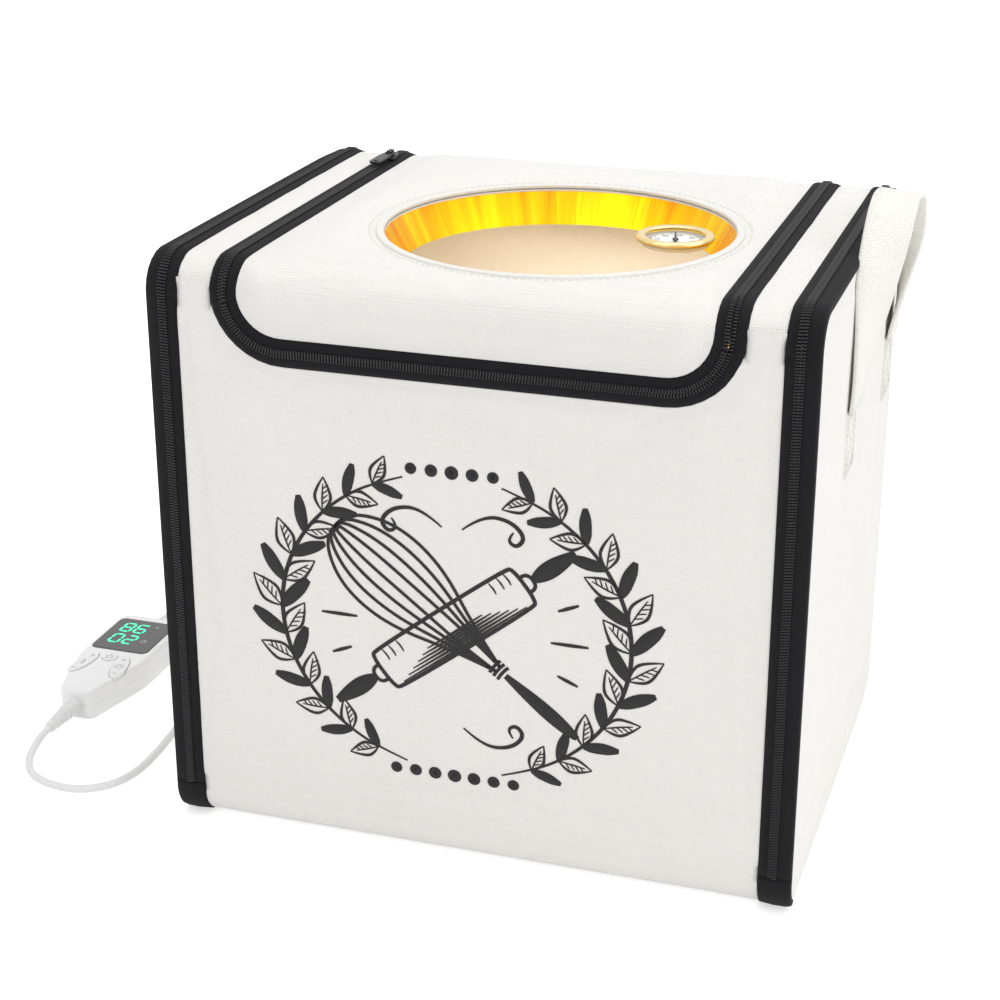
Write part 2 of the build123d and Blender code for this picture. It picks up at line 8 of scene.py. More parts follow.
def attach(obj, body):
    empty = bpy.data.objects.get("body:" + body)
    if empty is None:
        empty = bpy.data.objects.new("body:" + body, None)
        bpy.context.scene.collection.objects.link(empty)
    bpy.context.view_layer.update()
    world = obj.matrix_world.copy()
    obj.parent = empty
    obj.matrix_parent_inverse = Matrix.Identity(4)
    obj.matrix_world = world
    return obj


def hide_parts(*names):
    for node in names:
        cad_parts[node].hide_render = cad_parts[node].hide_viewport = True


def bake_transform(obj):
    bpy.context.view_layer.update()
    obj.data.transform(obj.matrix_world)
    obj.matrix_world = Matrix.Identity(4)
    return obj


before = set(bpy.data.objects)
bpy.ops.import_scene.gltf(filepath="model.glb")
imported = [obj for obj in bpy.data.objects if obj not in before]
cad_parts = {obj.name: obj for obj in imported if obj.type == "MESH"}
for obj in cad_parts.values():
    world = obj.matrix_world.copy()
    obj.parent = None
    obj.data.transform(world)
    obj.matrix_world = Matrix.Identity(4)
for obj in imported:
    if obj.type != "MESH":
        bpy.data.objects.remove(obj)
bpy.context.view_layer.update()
scene = bpy.context.scene
scene.view_settings.view_transform = "Standard"
print("frame loaded")

# sizes in metres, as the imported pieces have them
box = {"halfWide": 0.190, "halfDeep": 0.1525, "high": 0.356, "base": 0.025, "wall": 0.010,
       "topLow": 0.334, "topRound": 0.0215, "baseRound": 0.020, "lidHalf": 0.143, "tubeHalf": 0.1797,
       "front": -0.1541}
window = {"x": 0.013, "y": -0.021, "hole": 0.108, "stitched": 0.1115}


# camera, floor and light

view = {"place": (0.34769, -1.17378, 0.66802), "turn": 17.873, "down": 21.951, "lens": 75.74}
light = {"world": 0.66, "key": 9.5, "side": 11, "top": 16, "inside": 0.34}


def linked(name, data):
    made = bpy.data.objects.new(name, data)
    scene.collection.objects.link(made)
    return made


def setCamera():
    lens = bpy.data.cameras.new("camera")
    lens.lens, lens.sensor_width = view["lens"], 36
    scene.camera = linked("camera", lens)
    scene.camera.location = view["place"]
    scene.camera.rotation_euler = (math.radians(90 - view["down"]), 0, math.radians(view["turn"]))


def addLamp(name, place, target, size, power):
    lamp = bpy.data.lights.new(name, "AREA")
    lamp.size, lamp.energy = size, power
    holder = linked(name, lamp)
    holder.location = place
    holder.rotation_euler = (Vector(target) - Vector(place)).to_track_quat("-Z", "Y").to_euler()


setCamera()
print("camera set")


# shader maths

class Wire:
    # a socket that sums and products can be written with
    def __init__(self, paint, socket):
        self.paint = paint
        self.socket = socket

    def maths(self, operation, *others):
        return self.paint.node("ShaderNodeMath", {"operation": operation}, [self, *others])

    def __add__(self, other):
        return self.maths("ADD", other)

    def __mul__(self, other):
        return self.maths("MULTIPLY", other)

    def __sub__(self, other):
        return self.maths("SUBTRACT", other)

    def __rsub__(self, other):
        return self.paint.node("ShaderNodeMath", {"operation": "SUBTRACT"}, [other, self])

    __radd__ = __add__
    __rmul__ = __mul__

    def clamped(self):
        return self.maths("MAXIMUM", 0.0).maths("MINIMUM", 1.0)


class Paint:
    # one material; constants go straight on the surface's sockets
    def __init__(self, name, **settings):
        self.material = bpy.data.materials.new(name)
        self.material.use_nodes = True
        self.tree = self.material.node_tree
        self.surface = self.tree.nodes["Principled BSDF"]
        for socket, value in settings.items():
            self.surface.inputs[socket.replace("_", " ")].default_value = value

    def plug(self, socket, value):
        if isinstance(value, Wire):
            self.tree.links.new(value.socket, socket)
        elif value is not None:
            socket.default_value = value

    def node(self, kind, settings, values, output=0):
        made = self.tree.nodes.new(kind)
        for name, value in settings.items():
            if name == "stops":
                self.setStops(made.color_ramp, value)
            else:
                setattr(made, name, value)
        for key, value in (values.items() if isinstance(values, dict) else enumerate(values)):
            self.plug(made.inputs[key], value)
        return Wire(self, made.outputs[output])

    def setStops(self, ramp, stops):
        while len(ramp.elements) < len(stops):
            ramp.elements.new(1.0)
        for element, (place, colour) in zip(ramp.elements, stops):
            element.position = place
            element.color = (*colour, 1.0)

    def place(self):
        return self.node("ShaderNodeTexCoord", {}, [], "Object")

    def axes(self):
        split = self.node("ShaderNodeSeparateXYZ", {}, [self.place()]).socket.node
        return [Wire(self, split.outputs[i]) for i in range(3)]

    def noise(self, scale, detail=4.0, rough=0.55, place=None):
        values = {"Vector": place or self.place(), "Scale": scale, "Detail": detail, "Roughness": rough}
        return self.node("ShaderNodeTexNoise", {}, values)

    def blend(self, share, low, high):
        # the colour mix has its share in socket 0, its colours in 6 and 7 and its result in 2
        return self.node("ShaderNodeMix", {"data_type": "RGBA"}, {0: share, 6: (*low, 1.0), 7: (*high, 1.0)}, 2)

    def rough(self, wire):
        self.plug(self.surface.inputs["Roughness"], wire)
        return self

    def colour(self, wire):
        self.plug(self.surface.inputs["Base Color"], wire)
        return self

    def bump(self, height, distance, strength=1.0):
        values = {"Height": height, "Distance": distance, "Strength": strength}
        self.plug(self.surface.inputs["Normal"], self.node("ShaderNodeBump", {}, values))
        return self

    def wave(self, axis, pitch):
        return (axis * (2 * math.pi / pitch)).maths("SINE")


def clothPaint(name, colour, dark, pitch, depth, **settings):
    paint = Paint(name, Roughness=0.85, Specular_IOR_Level=0.25, Sheen_Weight=0.12, **settings)
    x, y, z = paint.axes()
    weave = paint.wave(x, pitch) + paint.wave(y, pitch) + paint.wave(z, pitch)
    slubs = paint.noise(900, 3)
    broad = paint.noise(14, 3)
    fold = paint.noise(55, 2)
    height = weave * 0.22 + slubs * 1.3 + fold * 3.0
    paint.bump(height, depth)
    shade = ((weave + 3) * 0.05 + slubs * 0.5 + broad * 0.5).clamped()
    return paint.colour(paint.blend(shade, dark, colour)).material


def foilPaint():
    # crinkled gold foil: streaks run down the well as bumps and rougher bands, and also as painted highlight streaks
    # in its colour, which is deeper orange at its rim
    paint = Paint("goldFoil", Metallic=1.0)
    x, y, z = paint.axes()
    angle = (y - window["y"]).maths("ARCTAN2", x - window["x"])
    around = paint.node("ShaderNodeCombineXYZ", {}, [angle * 3.0, z * 2.0, 0.0])
    crinkleAndSheen = paint.noise(3.2, 5, 0.6, around)
    # painted highlight streaks: the crinkle noise moves the foil's colour from orange to bright yellow, and the
    # colour gets lighter lower down the well
    paintedSheenTone = crinkleAndSheen + (0.345 - z) * 7.0
    stops = [(0.30, (1.0, 0.33, 0.0)), (0.44, (1.0, 0.52, 0.0)), (0.58, (1.0, 0.66, 0.0)),
             (0.74, (1.0, 0.84, 0.02))]
    paint.colour(paint.node("ShaderNodeValToRGB", {"stops": stops}, [paintedSheenTone]))
    paint.rough(crinkleAndSheen * 0.25 + 0.20)
    return paint.bump(crinkleAndSheen + paint.noise(120, 2) * 0.1, 0.002, 0.6).material


def plasticPaint(name, colour, rough, grain=0.00002, **settings):
    paint = Paint(name, **settings)
    speck = paint.noise(700, 2)
    cloud = paint.noise(30, 3)
    darker = tuple(0.94 * c for c in colour)
    paint.colour(paint.blend(cloud, darker, colour))
    paint.rough(cloud * 0.08 + rough)
    return paint.bump(speck, grain, 0.5).material


def metalPaint(name, colour, rough):
    paint = Paint(name, Metallic=1.0)
    brushed = paint.noise(260, 4)
    paint.colour(paint.blend(brushed, tuple(0.86 * c for c in colour), colour))
    paint.rough(brushed * 0.12 + rough)
    return paint.bump(brushed, 0.00002, 0.4).material


def tapePaint():
    paint = Paint("blackTape", Roughness=0.85, Specular_IOR_Level=0.2, Sheen_Weight=0.03)
    x, y, z = paint.axes()
    rib = paint.wave(x + y * 0.9 + z * 1.1, 0.0011)
    fuzz = paint.noise(1200, 2)
    paint.bump(rib * 0.5 + fuzz, 0.0002)
    shade = (rib * 0.25 + fuzz).clamped()
    return paint.colour(paint.blend(shade, (0.002, 0.002, 0.003), (0.013, 0.013, 0.015))).material


def clearPaint(name, veil, tint):
    # clear sheet: only a little of it shows, as a faint uneven veil
    paint = Paint(name, Roughness=0.1, Specular_IOR_Level=0.04)
    smear = paint.noise(40, 3)
    paint.colour(paint.blend(smear, tint, (1.0, 1.0, 1.0)))
    paint.plug(paint.surface.inputs["Alpha"], smear * 0.008 + veil)
    return paint.bump(smear, 0.0004, 0.5).material


def glowPaint(name, colour, strength):
    paint = Paint(name, Roughness=0.4)
    paint.surface.inputs["Emission Strength"].default_value = strength
    cells = paint.noise(1500, 1)
    glow = paint.blend(cells, tuple(0.8 * c for c in colour), colour)
    paint.plug(paint.surface.inputs["Emission Color"], glow)
    return paint.colour(glow).material


finish = {
    "canvas": clothPaint("canvas", (0.870, 0.858, 0.825), (0.78, 0.765, 0.73), 0.0011, 0.00025),
    "lining": clothPaint("creamLining", (0.94, 0.86, 0.73), (0.88, 0.79, 0.64), 0.0013, 0.0003),
    "strap": clothPaint("strap", (0.890, 0.875, 0.830), (0.77, 0.75, 0.70), 0.0016, 0.0003),
    "mat": clothPaint("matCloth", (0.93, 0.85, 0.71), (0.86, 0.77, 0.61), 0.0009, 0.0002),
    "thread": clothPaint("thread", (0.78, 0.76, 0.72), (0.62, 0.60, 0.56), 0.0005, 0.0001),
    "tape": tapePaint(),
    "coil": plasticPaint("coilNylon", (0.007, 0.007, 0.008), 0.42),
    "foil": foilPaint(),
    "film": clearPaint("clearFilm", 0.002, (0.97, 0.95, 0.88)),
    "lens": clearPaint("lensGlass", 0.004, (1.0, 1.0, 1.0)),
    "cream": plasticPaint("creamShell", (0.93, 0.84, 0.69), 0.5),
    "gold": metalPaint("goldPlate", (0.93, 0.74, 0.36), 0.20),
    "blades": metalPaint("contactMetal", (0.82, 0.80, 0.76), 0.22),
    "slider": metalPaint("blackMetal", (0.035, 0.035, 0.04), 0.30),
    "dial": plasticPaint("dialFace", (0.93, 0.93, 0.92), 0.45),
    "black": plasticPaint("blackEnamel", (0.012, 0.012, 0.014), 0.35),
    "ink": plasticPaint("blackInk", (0.014, 0.013, 0.013), 0.75, 0.0001),
    "shell": plasticPaint("whiteShell", (0.88, 0.88, 0.885), 0.24, Coat_Weight=0.4, Coat_Roughness=0.1),
    "button": plasticPaint("whiteButton", (0.86, 0.86, 0.87), 0.30),
    "screen": plasticPaint("blackScreen", (0.006, 0.006, 0.007), 0.08, Coat_Weight=0.6),
    "rubber": plasticPaint("whiteRubber", (0.80, 0.80, 0.805), 0.42, 0.00006),
    "circuit": plasticPaint("circuitGreen", (0.02, 0.16, 0.06), 0.4),
    "green": glowPaint("greenDigits", (0.05, 0.95, 0.45), 1.6),
    "sign": plasticPaint("greySign", (0.22, 0.22, 0.23), 0.5),
    "pale": plasticPaint("paleSign", (0.85, 0.86, 0.86), 0.5),
}
print("finishes mixed")


# making and keeping pieces

def meshOf(bm, name="part"):
    mesh = bpy.data.meshes.new(name)
    bm.to_mesh(mesh)
    bm.free()
    return mesh


def keepPiece(bm, name, body, paint, smooth=True):
    return keepMesh(meshOf(bm, name), name, body, paint, smooth)


def keepMesh(mesh, name, body, paint, smooth=True):
    piece = linked(name, mesh)
    if paint:
        mesh.materials.append(finish[paint])
    mesh.polygons.foreach_set("use_smooth", [smooth] * len(mesh.polygons))
    if body:
        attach(piece, body)
    return piece


def evaluated(holder):
    graph = bpy.context.evaluated_depsgraph_get()
    return bpy.data.meshes.new_from_object(holder.evaluated_get(graph))


def bakedMesh(piece):
    # the piece's mesh with its modifiers in it
    mesh = evaluated(piece)
    piece.modifiers.clear()
    piece.data = mesh
    return mesh


def curveMesh(curve):
    # a curve or a word as a mesh
    holder = linked("holder", curve)
    mesh = evaluated(holder)
    bpy.data.objects.remove(holder)
    return mesh


def thicken(piece, thickness):
    piece.modifiers.new("skin", "SOLIDIFY").thickness = thickness
    bakedMesh(piece)


def stamp(bm, mesh, places):
    # a copy of the mesh at each of the places
    for place in places:
        mesh.transform(place)
        bm.from_mesh(mesh)
        mesh.transform(place.inverted())


def addBm(bm, other, place=None):
    # the other shape goes into the first, moved to its place
    mesh = meshOf(other)
    stamp(bm, mesh, [place or Matrix.Identity(4)])
    bpy.data.meshes.remove(mesh)


def blockBm(low, high):
    bm = bmesh.new()
    bmesh.ops.create_cube(bm, size=1)
    size = [b - a for a, b in zip(low, high)]
    middle = [(a + b) / 2 for a, b in zip(low, high)]
    bmesh.ops.scale(bm, vec=size, verts=bm.verts)
    bmesh.ops.translate(bm, vec=middle, verts=bm.verts)
    return bm


def roundEdges(bm, along, where, radius, segments=8):
    # bevels the edges that run along an axis and whose middle passes the test
    picked = []
    for edge in bm.edges:
        run = edge.verts[1].co - edge.verts[0].co
        if abs(run[along]) > 0.99 * run.length and where((edge.verts[0].co + edge.verts[1].co) / 2):
            picked.append(edge)
    bmesh.ops.bevel(bm, geom=picked, offset=radius, segments=segments, profile=0.5, affect="EDGES", material=-1)


def cutBm(bm, axis, step):
    # planes across one axis, so that a long piece can bend
    low = min(v.co[axis] for v in bm.verts)
    high = max(v.co[axis] for v in bm.verts)
    across = Vector([1 if i == axis else 0 for i in range(3)])
    count = max(2, round((high - low) / step))
    for i in range(1, count):
        spot = across * (low + (high - low) * i / count)
        bmesh.ops.bisect_plane(bm, geom=bm.verts[:] + bm.edges[:] + bm.faces[:], plane_co=spot, plane_no=across)


def lockStep(value, low, high):
    share = min(1, max(0, (value - low) / (high - low)))
    return share * share * (3 - 2 * share)


# frames along a path: Y runs forward, Z points out of the surface, X to the piece's side

def partWay(move, share):
    # a number is a straight stretch, a bend has its axis, radius and angle
    if not isinstance(move, tuple):
        return Matrix.Translation((0, move * share, 0))
    axis, radius, angle = move
    pivot = Vector((radius, 0, 0)) if axis == "Z" else Vector((0, 0, -radius))
    return Matrix.Translation(pivot) @ Matrix.Rotation(-angle * share, 4, axis) @ Matrix.Translation(-pivot)


overTop = ("X", box["topRound"], math.pi / 2)


def aside(radius):
    return ("Z", radius, math.pi / 2)


def stations(start, moves, pitch):
    # frames at an even pitch along the whole path
    legs = []
    for move in moves:
        legs.append((start, move, move[1] * abs(move[2]) if isinstance(move, tuple) else move))
        start = start @ partWay(move, 1)
    total = sum(length for here, move, length in legs)
    count = max(2, round(total / pitch))
    places = []
    for i in range(count + 1):
        reach = total * i / count
        for here, move, length in legs:
            if reach <= length + 1e-9:
                break
            reach -= length
        places.append(here @ partWay(move, min(1, reach / length)))
    return places


def sweepBm(section, places):
    bm = bmesh.new()
    ring = [bm.verts.new(places[0] @ Vector((x, 0, z))) for x, z in section]
    edges = [bm.edges.new(pair) for pair in zip(ring, ring[1:] + ring[:1])]
    for last, here in zip(places, places[1:]):
        grown = bmesh.ops.extrude_edge_only(bm, edges=edges)["geom"]
        fresh = [g for g in grown if isinstance(g, bmesh.types.BMVert)]
        edges = [g for g in grown if isinstance(g, bmesh.types.BMEdge) and g.is_boundary]
        bmesh.ops.transform(bm, matrix=here @ last.inverted(), verts=fresh)
    bmesh.ops.holes_fill(bm, edges=[e for e in bm.edges if e.is_boundary])
    bmesh.ops.recalc_face_normals(bm, faces=bm.faces)
    return bm


def frameAt(place, forward, out):
    # side = forward x out
    forward = Vector(forward).normalized()
    out = Vector(out).normalized()
    side = forward.cross(out)
    turn = Matrix((side, forward, out)).transposed().to_4x4()
    return Matrix.Translation(place) @ turn


# leads

lead = {
    "thick": 0.005,
    "boxRoute": [
        (-0.225, 0.080, 0.014), (-0.250, 0.080, 0.014), (-0.268, 0.061, 0.008), (-0.267, 0.034, 0.0028),
        (-0.254, 0.008, 0.0025), (-0.243, -0.028, 0.0025), (-0.237, -0.078, 0.0025), (-0.237, -0.126, 0.0025),
        (-0.258, -0.150, 0.0025), (-0.290, -0.148, 0.0025), (-0.309, -0.133, 0.0035), (-0.312, -0.108, 0.011),
        (-0.312, -0.095, 0.011)],
    "supplyRoute": [
        (-0.312, 0.095, 0.011), (-0.312, 0.108, 0.011), (-0.310, 0.133, 0.0035), (-0.304, 0.165, 0.0025),
        (-0.287, 0.194, 0.0025), (-0.258, 0.211, 0.0025), (-0.221, 0.217, 0.0025), (-0.181, 0.2195, 0.0025),
        (-0.140, 0.2146, 0.0025)],
    "coilMiddle": (-0.100, 0.252), "coilOuter": 0.0374, "coilPitch": 0.0057, "coilTurns": 3,
    "boxLength": 0.355, "supplyLength": 1.455,
    "controller": ["controller_back", "controller_front", "display_window", "control_board", "power_button",
                   "temp_rocker", "time_rocker", "button_end_boot", "display_end_boot"],
}


def coilPoint(turns):
    # in by one layer, half a turn up and out by the other
    reversal = lead["coilTurns"] + 0.25
    radius = lead["coilOuter"] - lead["coilPitch"] * (reversal - abs(turns - reversal))
    rise = lockStep(turns, lead["coilTurns"], lead["coilTurns"] + 0.5) * (lead["thick"] + 0.0006)
    angle = 2 * math.pi * turns - math.pi / 2
    x, y = lead["coilMiddle"]
    return (x + radius * math.cos(angle), y + radius * math.sin(angle), lead["thick"] / 2 + rise)


def smoothLine(curve, points, closed=False):
    spline = curve.splines.new("NURBS")
    spline.points.add(len(points) - 1)
    for point, place in zip(spline.points, points):
        point.co = (*place, 1)
    spline.order_u = 3
    spline.use_endpoint_u = not closed
    spline.use_cyclic_u = closed
    return spline.points


def leadCurve(name, points, body):
    curve = bpy.data.curves.new(name, "CURVE")
    curve.dimensions = "3D"
    curve.bevel_depth = lead["thick"] / 2
    curve.bevel_resolution = 4
    curve.resolution_u = 6
    curve.use_fill_caps = True
    smoothLine(curve, points)
    piece = linked(name, curve)
    curve.materials.append(finish["rubber"])
    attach(piece, body)
    return piece


def makeLeads():
    boxLead = leadCurve("boxLead", lead["boxRoute"], "base")
    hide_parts("box_lead")
    perTurn = 16
    turns = [coilPoint(i / perTurn) for i in range(int((2 * lead["coilTurns"] + 0.5) * perTurn) + 1)]
    x, y, z = turns[-1]
    tail = [(x - 0.006, y, z), (x - 0.012, y, z)]
    supplyLead = leadCurve("supplyLead", lead["supplyRoute"] + turns + tail, "base")
    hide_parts("supply_lead", "supply_coil")
    return boxLead, supplyLead


boxLead, supplyLead = makeLeads()
print("leads laid")


# padded walls, lid and base

padding = {"voxel": 0.005, "pressure": 4.0, "frames": 20, "edge": 0.030, "low": 0.0253, "wallHigh": 0.3336}
lip = {"corner": 0.034, "proud": 0.0050, "low": 0.308, "bendTop": 0.342, "heldY": -0.1325, "heldZ": 0.3345,
       "heldOut": 0.0213}
notch = {"half": 0.135, "low": 0.316, "corner": 0.026}


def archBm(x, y, low):
    # a slab from x[0] to x[1] whose front and back top edges are round
    bm = blockBm((min(x), y[0], low), (max(x), y[1], box["high"]))
    roundEdges(bm, 0, lambda c: c.z > 0.35, box["topRound"])
    return bm


def sideBlank(sign):
    return archBm((sign * 0.180, sign * 0.190), (-box["halfDeep"], box["halfDeep"]), box["base"] + 0.0003)


def tubeBlank(front, back):
    return blockBm((-box["tubeHalf"], front, box["base"] + 0.0003), (box["tubeHalf"], back, box["topLow"] - 0.0004))


def notchCutter():
    bm = blockBm((-notch["half"], -0.2, notch["low"]), (notch["half"], 0, 0.4))
    roundEdges(bm, 1, lambda c: c.z < 0.35, notch["corner"])
    return bm


def railBlank(sign):
    return archBm((sign * (box["lidHalf"] + 0.0002), sign * box["tubeHalf"]), (-box["halfDeep"], box["halfDeep"]),
                  box["topLow"])


def lidBlank():
    half = box["lidHalf"] - 0.0003
    return archBm((-half, half), (-0.154, box["halfDeep"]), box["topLow"])


def lipBlank():
    half = box["lidHalf"] - 0.003
    bm = blockBm((-half, -0.1575, 0.311), (half, -0.1215, box["high"]))
    roundEdges(bm, 1, lambda c: c.z < 0.33, 0.031)
    roundEdges(bm, 0, lambda c: c.z > 0.35 and c.y < -0.15, 0.025, 10)
    return bm


def lipRoom():
    # what lies under the padded slab behind the lip
    return blockBm((-0.2, -0.1529, 0.3), (0.2, 0, box["topLow"]))


def wellCutter():
    bm = bmesh.new()
    bmesh.ops.create_cone(bm, cap_ends=True, segments=96, radius1=0.0935, radius2=0.1060, depth=0.024)
    bmesh.ops.translate(bm, vec=(window["x"], window["y"], 0.345), verts=bm.verts)
    return bm


def baseBlank():
    half, deep = box["halfWide"], box["halfDeep"]
    bm = blockBm((-half, -deep, 0), (half, deep, box["base"]))
    roundEdges(bm, 0, lambda c: c.z < 0.01, box["baseRound"])
    return bm


def carved(bm, *cutters):
    # the shape less the cutters, as a mesh
    blank = linked("blank", meshOf(bm))
    tools = [linked("cutter", meshOf(cutter)) for cutter in cutters]
    for tool in tools:
        cut = blank.modifiers.new("cut", "BOOLEAN")
        cut.operation = "DIFFERENCE"
        cut.object = tool
        cut.solver = "EXACT"
    result = bakedMesh(blank)
    for spare in [blank, *tools]:
        bpy.data.objects.remove(spare)
    return result


def lipInset(co):
    # how far a spot of the lip lies inside the line of its zip
    wide, tall = box["lidHalf"] - abs(co.x), co.z - lip["low"]
    across, down = lip["corner"] - wide, lip["corner"] - tall
    if across > 0 and down > 0:
        return lip["corner"] - math.hypot(across, down)
    return min(wide, tall)


def heldLip(co):
    # the cushion of the lip comes down to its tape all along the zip
    back, up = lip["heldY"] - co.y, max(0, co.z - lip["heldZ"])
    if back < 0.005:
        return co
    reach = math.hypot(back, up)
    puff = lip["proud"] * lockStep(lipInset(co), 0.006, 0.022) * back / reach
    share = min(1, (lip["heldOut"] + puff) / reach)
    return Vector((co.x, lip["heldY"] - back * share, co.z - up * (1 - share)))


def sideRoom(co):
    # this and the next ones: how far a spot of the panel lies from its seams
    return min(box["halfDeep"] - abs(co.y), co.z - padding["low"], box["high"] - co.z)


def backRoom(co):
    return min(box["tubeHalf"] - abs(co.x), co.z - padding["low"], padding["wallHigh"] - co.z)


def frontRoom(co):
    return min(backRoom(co), max(0, abs(co.x) - notch["half"], notch["low"] - co.z))


def railRoom(co):
    if co.z < box["topLow"] + 0.002:
        return 0
    return min(box["tubeHalf"] - abs(co.x), abs(co.x) - box["lidHalf"], 0.15 - co.y)


def lidRoom(co):
    if co.y > -0.1535 and co.z < box["topLow"] + 0.002:
        return 0
    rim = math.hypot(co.x - window["x"], co.y - window["y"]) - window["hole"]
    inset = lipInset(co) if co.y < -0.13 else box["lidHalf"] - abs(co.x)
    return max(0, min(rim, inset - 0.0085, box["halfDeep"] - co.y))


def baseRoom(co):
    return 0.012 if 0.004 < co.z < 0.022 else 0


def wallPanel(word, body, room, inner, blanks, fold=0.0003):
    return {"body": body, "room": room, "swell": 0.0022, "inner": inner, "blanks": blanks, "fold": fold,
            "replaces": [word + "_cover", word + "_board"]}


def sidePanel(sign, word):
    return wallPanel(word, word + "_wall", sideRoom, (-sign, 0, 0), lambda: [carved(sideBlank(sign))], 0.0012)


panels = {
    "rightSide": sidePanel(1, "right"),
    "leftSide": sidePanel(-1, "left"),
    "frontPanel": wallPanel("front", "front_wall", frontRoom, (0, 1, 0),
                            lambda: [carved(tubeBlank(-0.1525, -0.1425), notchCutter())]),
    "backPanel": wallPanel("back", "back_wall", backRoom, (0, -1, 0), lambda: [carved(tubeBlank(0.1425, 0.1525))]),
    "topRails": {"body": "top", "room": railRoom, "swell": 0.0015, "inner": (0, 0, -1), "fold": 0.0003,
                 "blanks": lambda: [carved(railBlank(1)), carved(railBlank(-1))],
                 "replaces": ["top_rails", "rail_cores"]},
    "lidPad": {"body": "lid", "room": lidRoom, "swell": 0.0035, "inner": (0, 0, -1), "fold": 0.0003,
               "blanks": lambda: [carved(lidBlank(), wellCutter()), carved(lipBlank(), lipRoom(), wellCutter())],
               "replaces": ["lid_cover", "lid_foam"]},
    "basePad": {"body": "base", "room": baseRoom, "swell": 0.0012, "inner": (0, 0, 1), "fold": 0.0003,
                "blanks": lambda: [carved(baseBlank())], "replaces": ["base_cover", "base_board"]},
}


def inflate(blanks):
    # all the pads blow up together, one run of the cloth solver
    for piece in blanks.values():
        remesh = piece.modifiers.new("remesh", "REMESH")
        remesh.mode = "VOXEL"
        remesh.voxel_size = padding["voxel"]
        bakedMesh(piece)
    starts = {name: [v.co.copy() for v in piece.data.vertices] for name, piece in blanks.items()}
    for piece in blanks.values():
        cloth = piece.modifiers.new("cloth", "CLOTH")
        cloth.settings.use_pressure = True
        cloth.settings.uniform_pressure_force = padding["pressure"]
        cloth.settings.effector_weights.gravity = 0
        cloth.settings.quality = 4
        cloth.collision_settings.use_collision = False
    for step in range(1, padding["frames"] + 1):
        scene.frame_set(step)
    for piece in blanks.values():
        bakedMesh(piece)
    scene.frame_set(1)
    return starts


def settle(piece, panel, starts):
    # limits how far each spot has moved, and lets the cloth ripple beside the seams
    limit = panel["swell"]
    bm = bmesh.new()
    bm.from_mesh(piece.data)
    bm.normal_update()
    for vert, start in zip(bm.verts, starts):
        share = lockStep(panel["room"](start), 0, padding["edge"])
        out = vert.normal
        travel = max(-0.2 * limit, min(limit, (vert.co - start).dot(out)))
        ripple = noise.noise(start * 46) * 0.35 + noise.noise(start * 120) * 0.15
        drape = noise.noise(Vector((start.x * 24, start.y * 30, start.z * 7))) * panel["fold"]
        near = 4 * share * (1 - share)
        vert.co = start + out * ((travel + drape) * share + ripple * 0.001 * (0.25 + near))
        if piece.name == "lidPad":
            vert.co = heldLip(vert.co)
    bm.to_mesh(piece.data)
    bm.free()


def inChamber(co):
    return abs(co.x) < 0.1815 and abs(co.y) < 0.1440 and 0.0240 < co.z < 0.3352


def makePads():
    blanks = {}
    for name, panel in panels.items():
        bm = bmesh.new()
        for mesh in panel["blanks"]():
            bm.from_mesh(mesh)
        blanks[name] = keepPiece(bm, name, panel["body"], "canvas")
    starts = inflate(blanks)
    for name, piece in blanks.items():
        panel = panels[name]
        settle(piece, panel, starts[name])
        finer = piece.modifiers.new("finer", "SUBSURF")
        finer.levels = finer.render_levels = 1
        mesh = bakedMesh(piece)
        mesh.polygons.foreach_set("use_smooth", [True] * len(mesh.polygons))
        mesh.materials.clear()
        mesh.materials.append(finish["canvas"])
        mesh.materials.append(finish["lining"])
        inner = Vector(panel["inner"])
        for face in mesh.polygons:
            face.material_index = 1 if face.normal.dot(inner) > 0.6 and inChamber(face.center) else 0
        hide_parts(*panel["replaces"])
    return blanks


pads = makePads()
print("padding filled")


# zips

zipMaking = {"toothPitch": 0.0017, "tapeStep": 0.006, "teethEnd": 0.3345, "low": box["base"] + 0.001}

# tape sections, across and out: lapped is the edge that turns round a side wall's front or the base's foot
lapped = [(0.0072, 0.0012), (0.0098, 0.0006), (0.0107, -0.0006), (0.0109, -0.0034), (0.0102, -0.0038),
          (0.0097, -0.0010)]
sections = {"plain": [(0.0001, 0.0004), (0.0001, 0.0010), (0.0030, 0.0013), (0.0060, 0.0012), (0.0082, 0.0005),
                      (0.0088, -0.0012), (0.0080, -0.0014), (0.0040, -0.0006)],
            "side": [(0.0001, 0.0004), (0.0001, 0.0010), (0.0030, 0.0013), *lapped, (0.0070, -0.0004)],
            "foot": [(-0.0088, -0.0010), (-0.0080, 0.0006), (0.0, 0.0013), *lapped, (0.0, -0.0006)]}


def toothMesh():
    # one loop of the nylon coil, lying across the zip
    bm = bmesh.new()
    bmesh.ops.create_cube(bm, size=1)
    bmesh.ops.scale(bm, vec=(0.0026, 0.00105, 0.0016), verts=bm.verts)
    bmesh.ops.translate(bm, vec=(0.0012, 0, 0.0017), verts=bm.verts)
    top = [e for e in bm.edges if all(v.co.z > 0.0017 for v in e.verts)]
    bmesh.ops.bevel(bm, geom=top, offset=0.00042, segments=1, profile=0.5, affect="EDGES", material=-1)
    bottom = [f for f in bm.faces if f.normal.z < -0.9]
    bmesh.ops.delete(bm, geom=bottom, context="FACES_ONLY")
    return meshOf(bm)


tooth = toothMesh()


def arcShift(radius, along):
    return radius - math.sqrt(radius ** 2 - along ** 2)


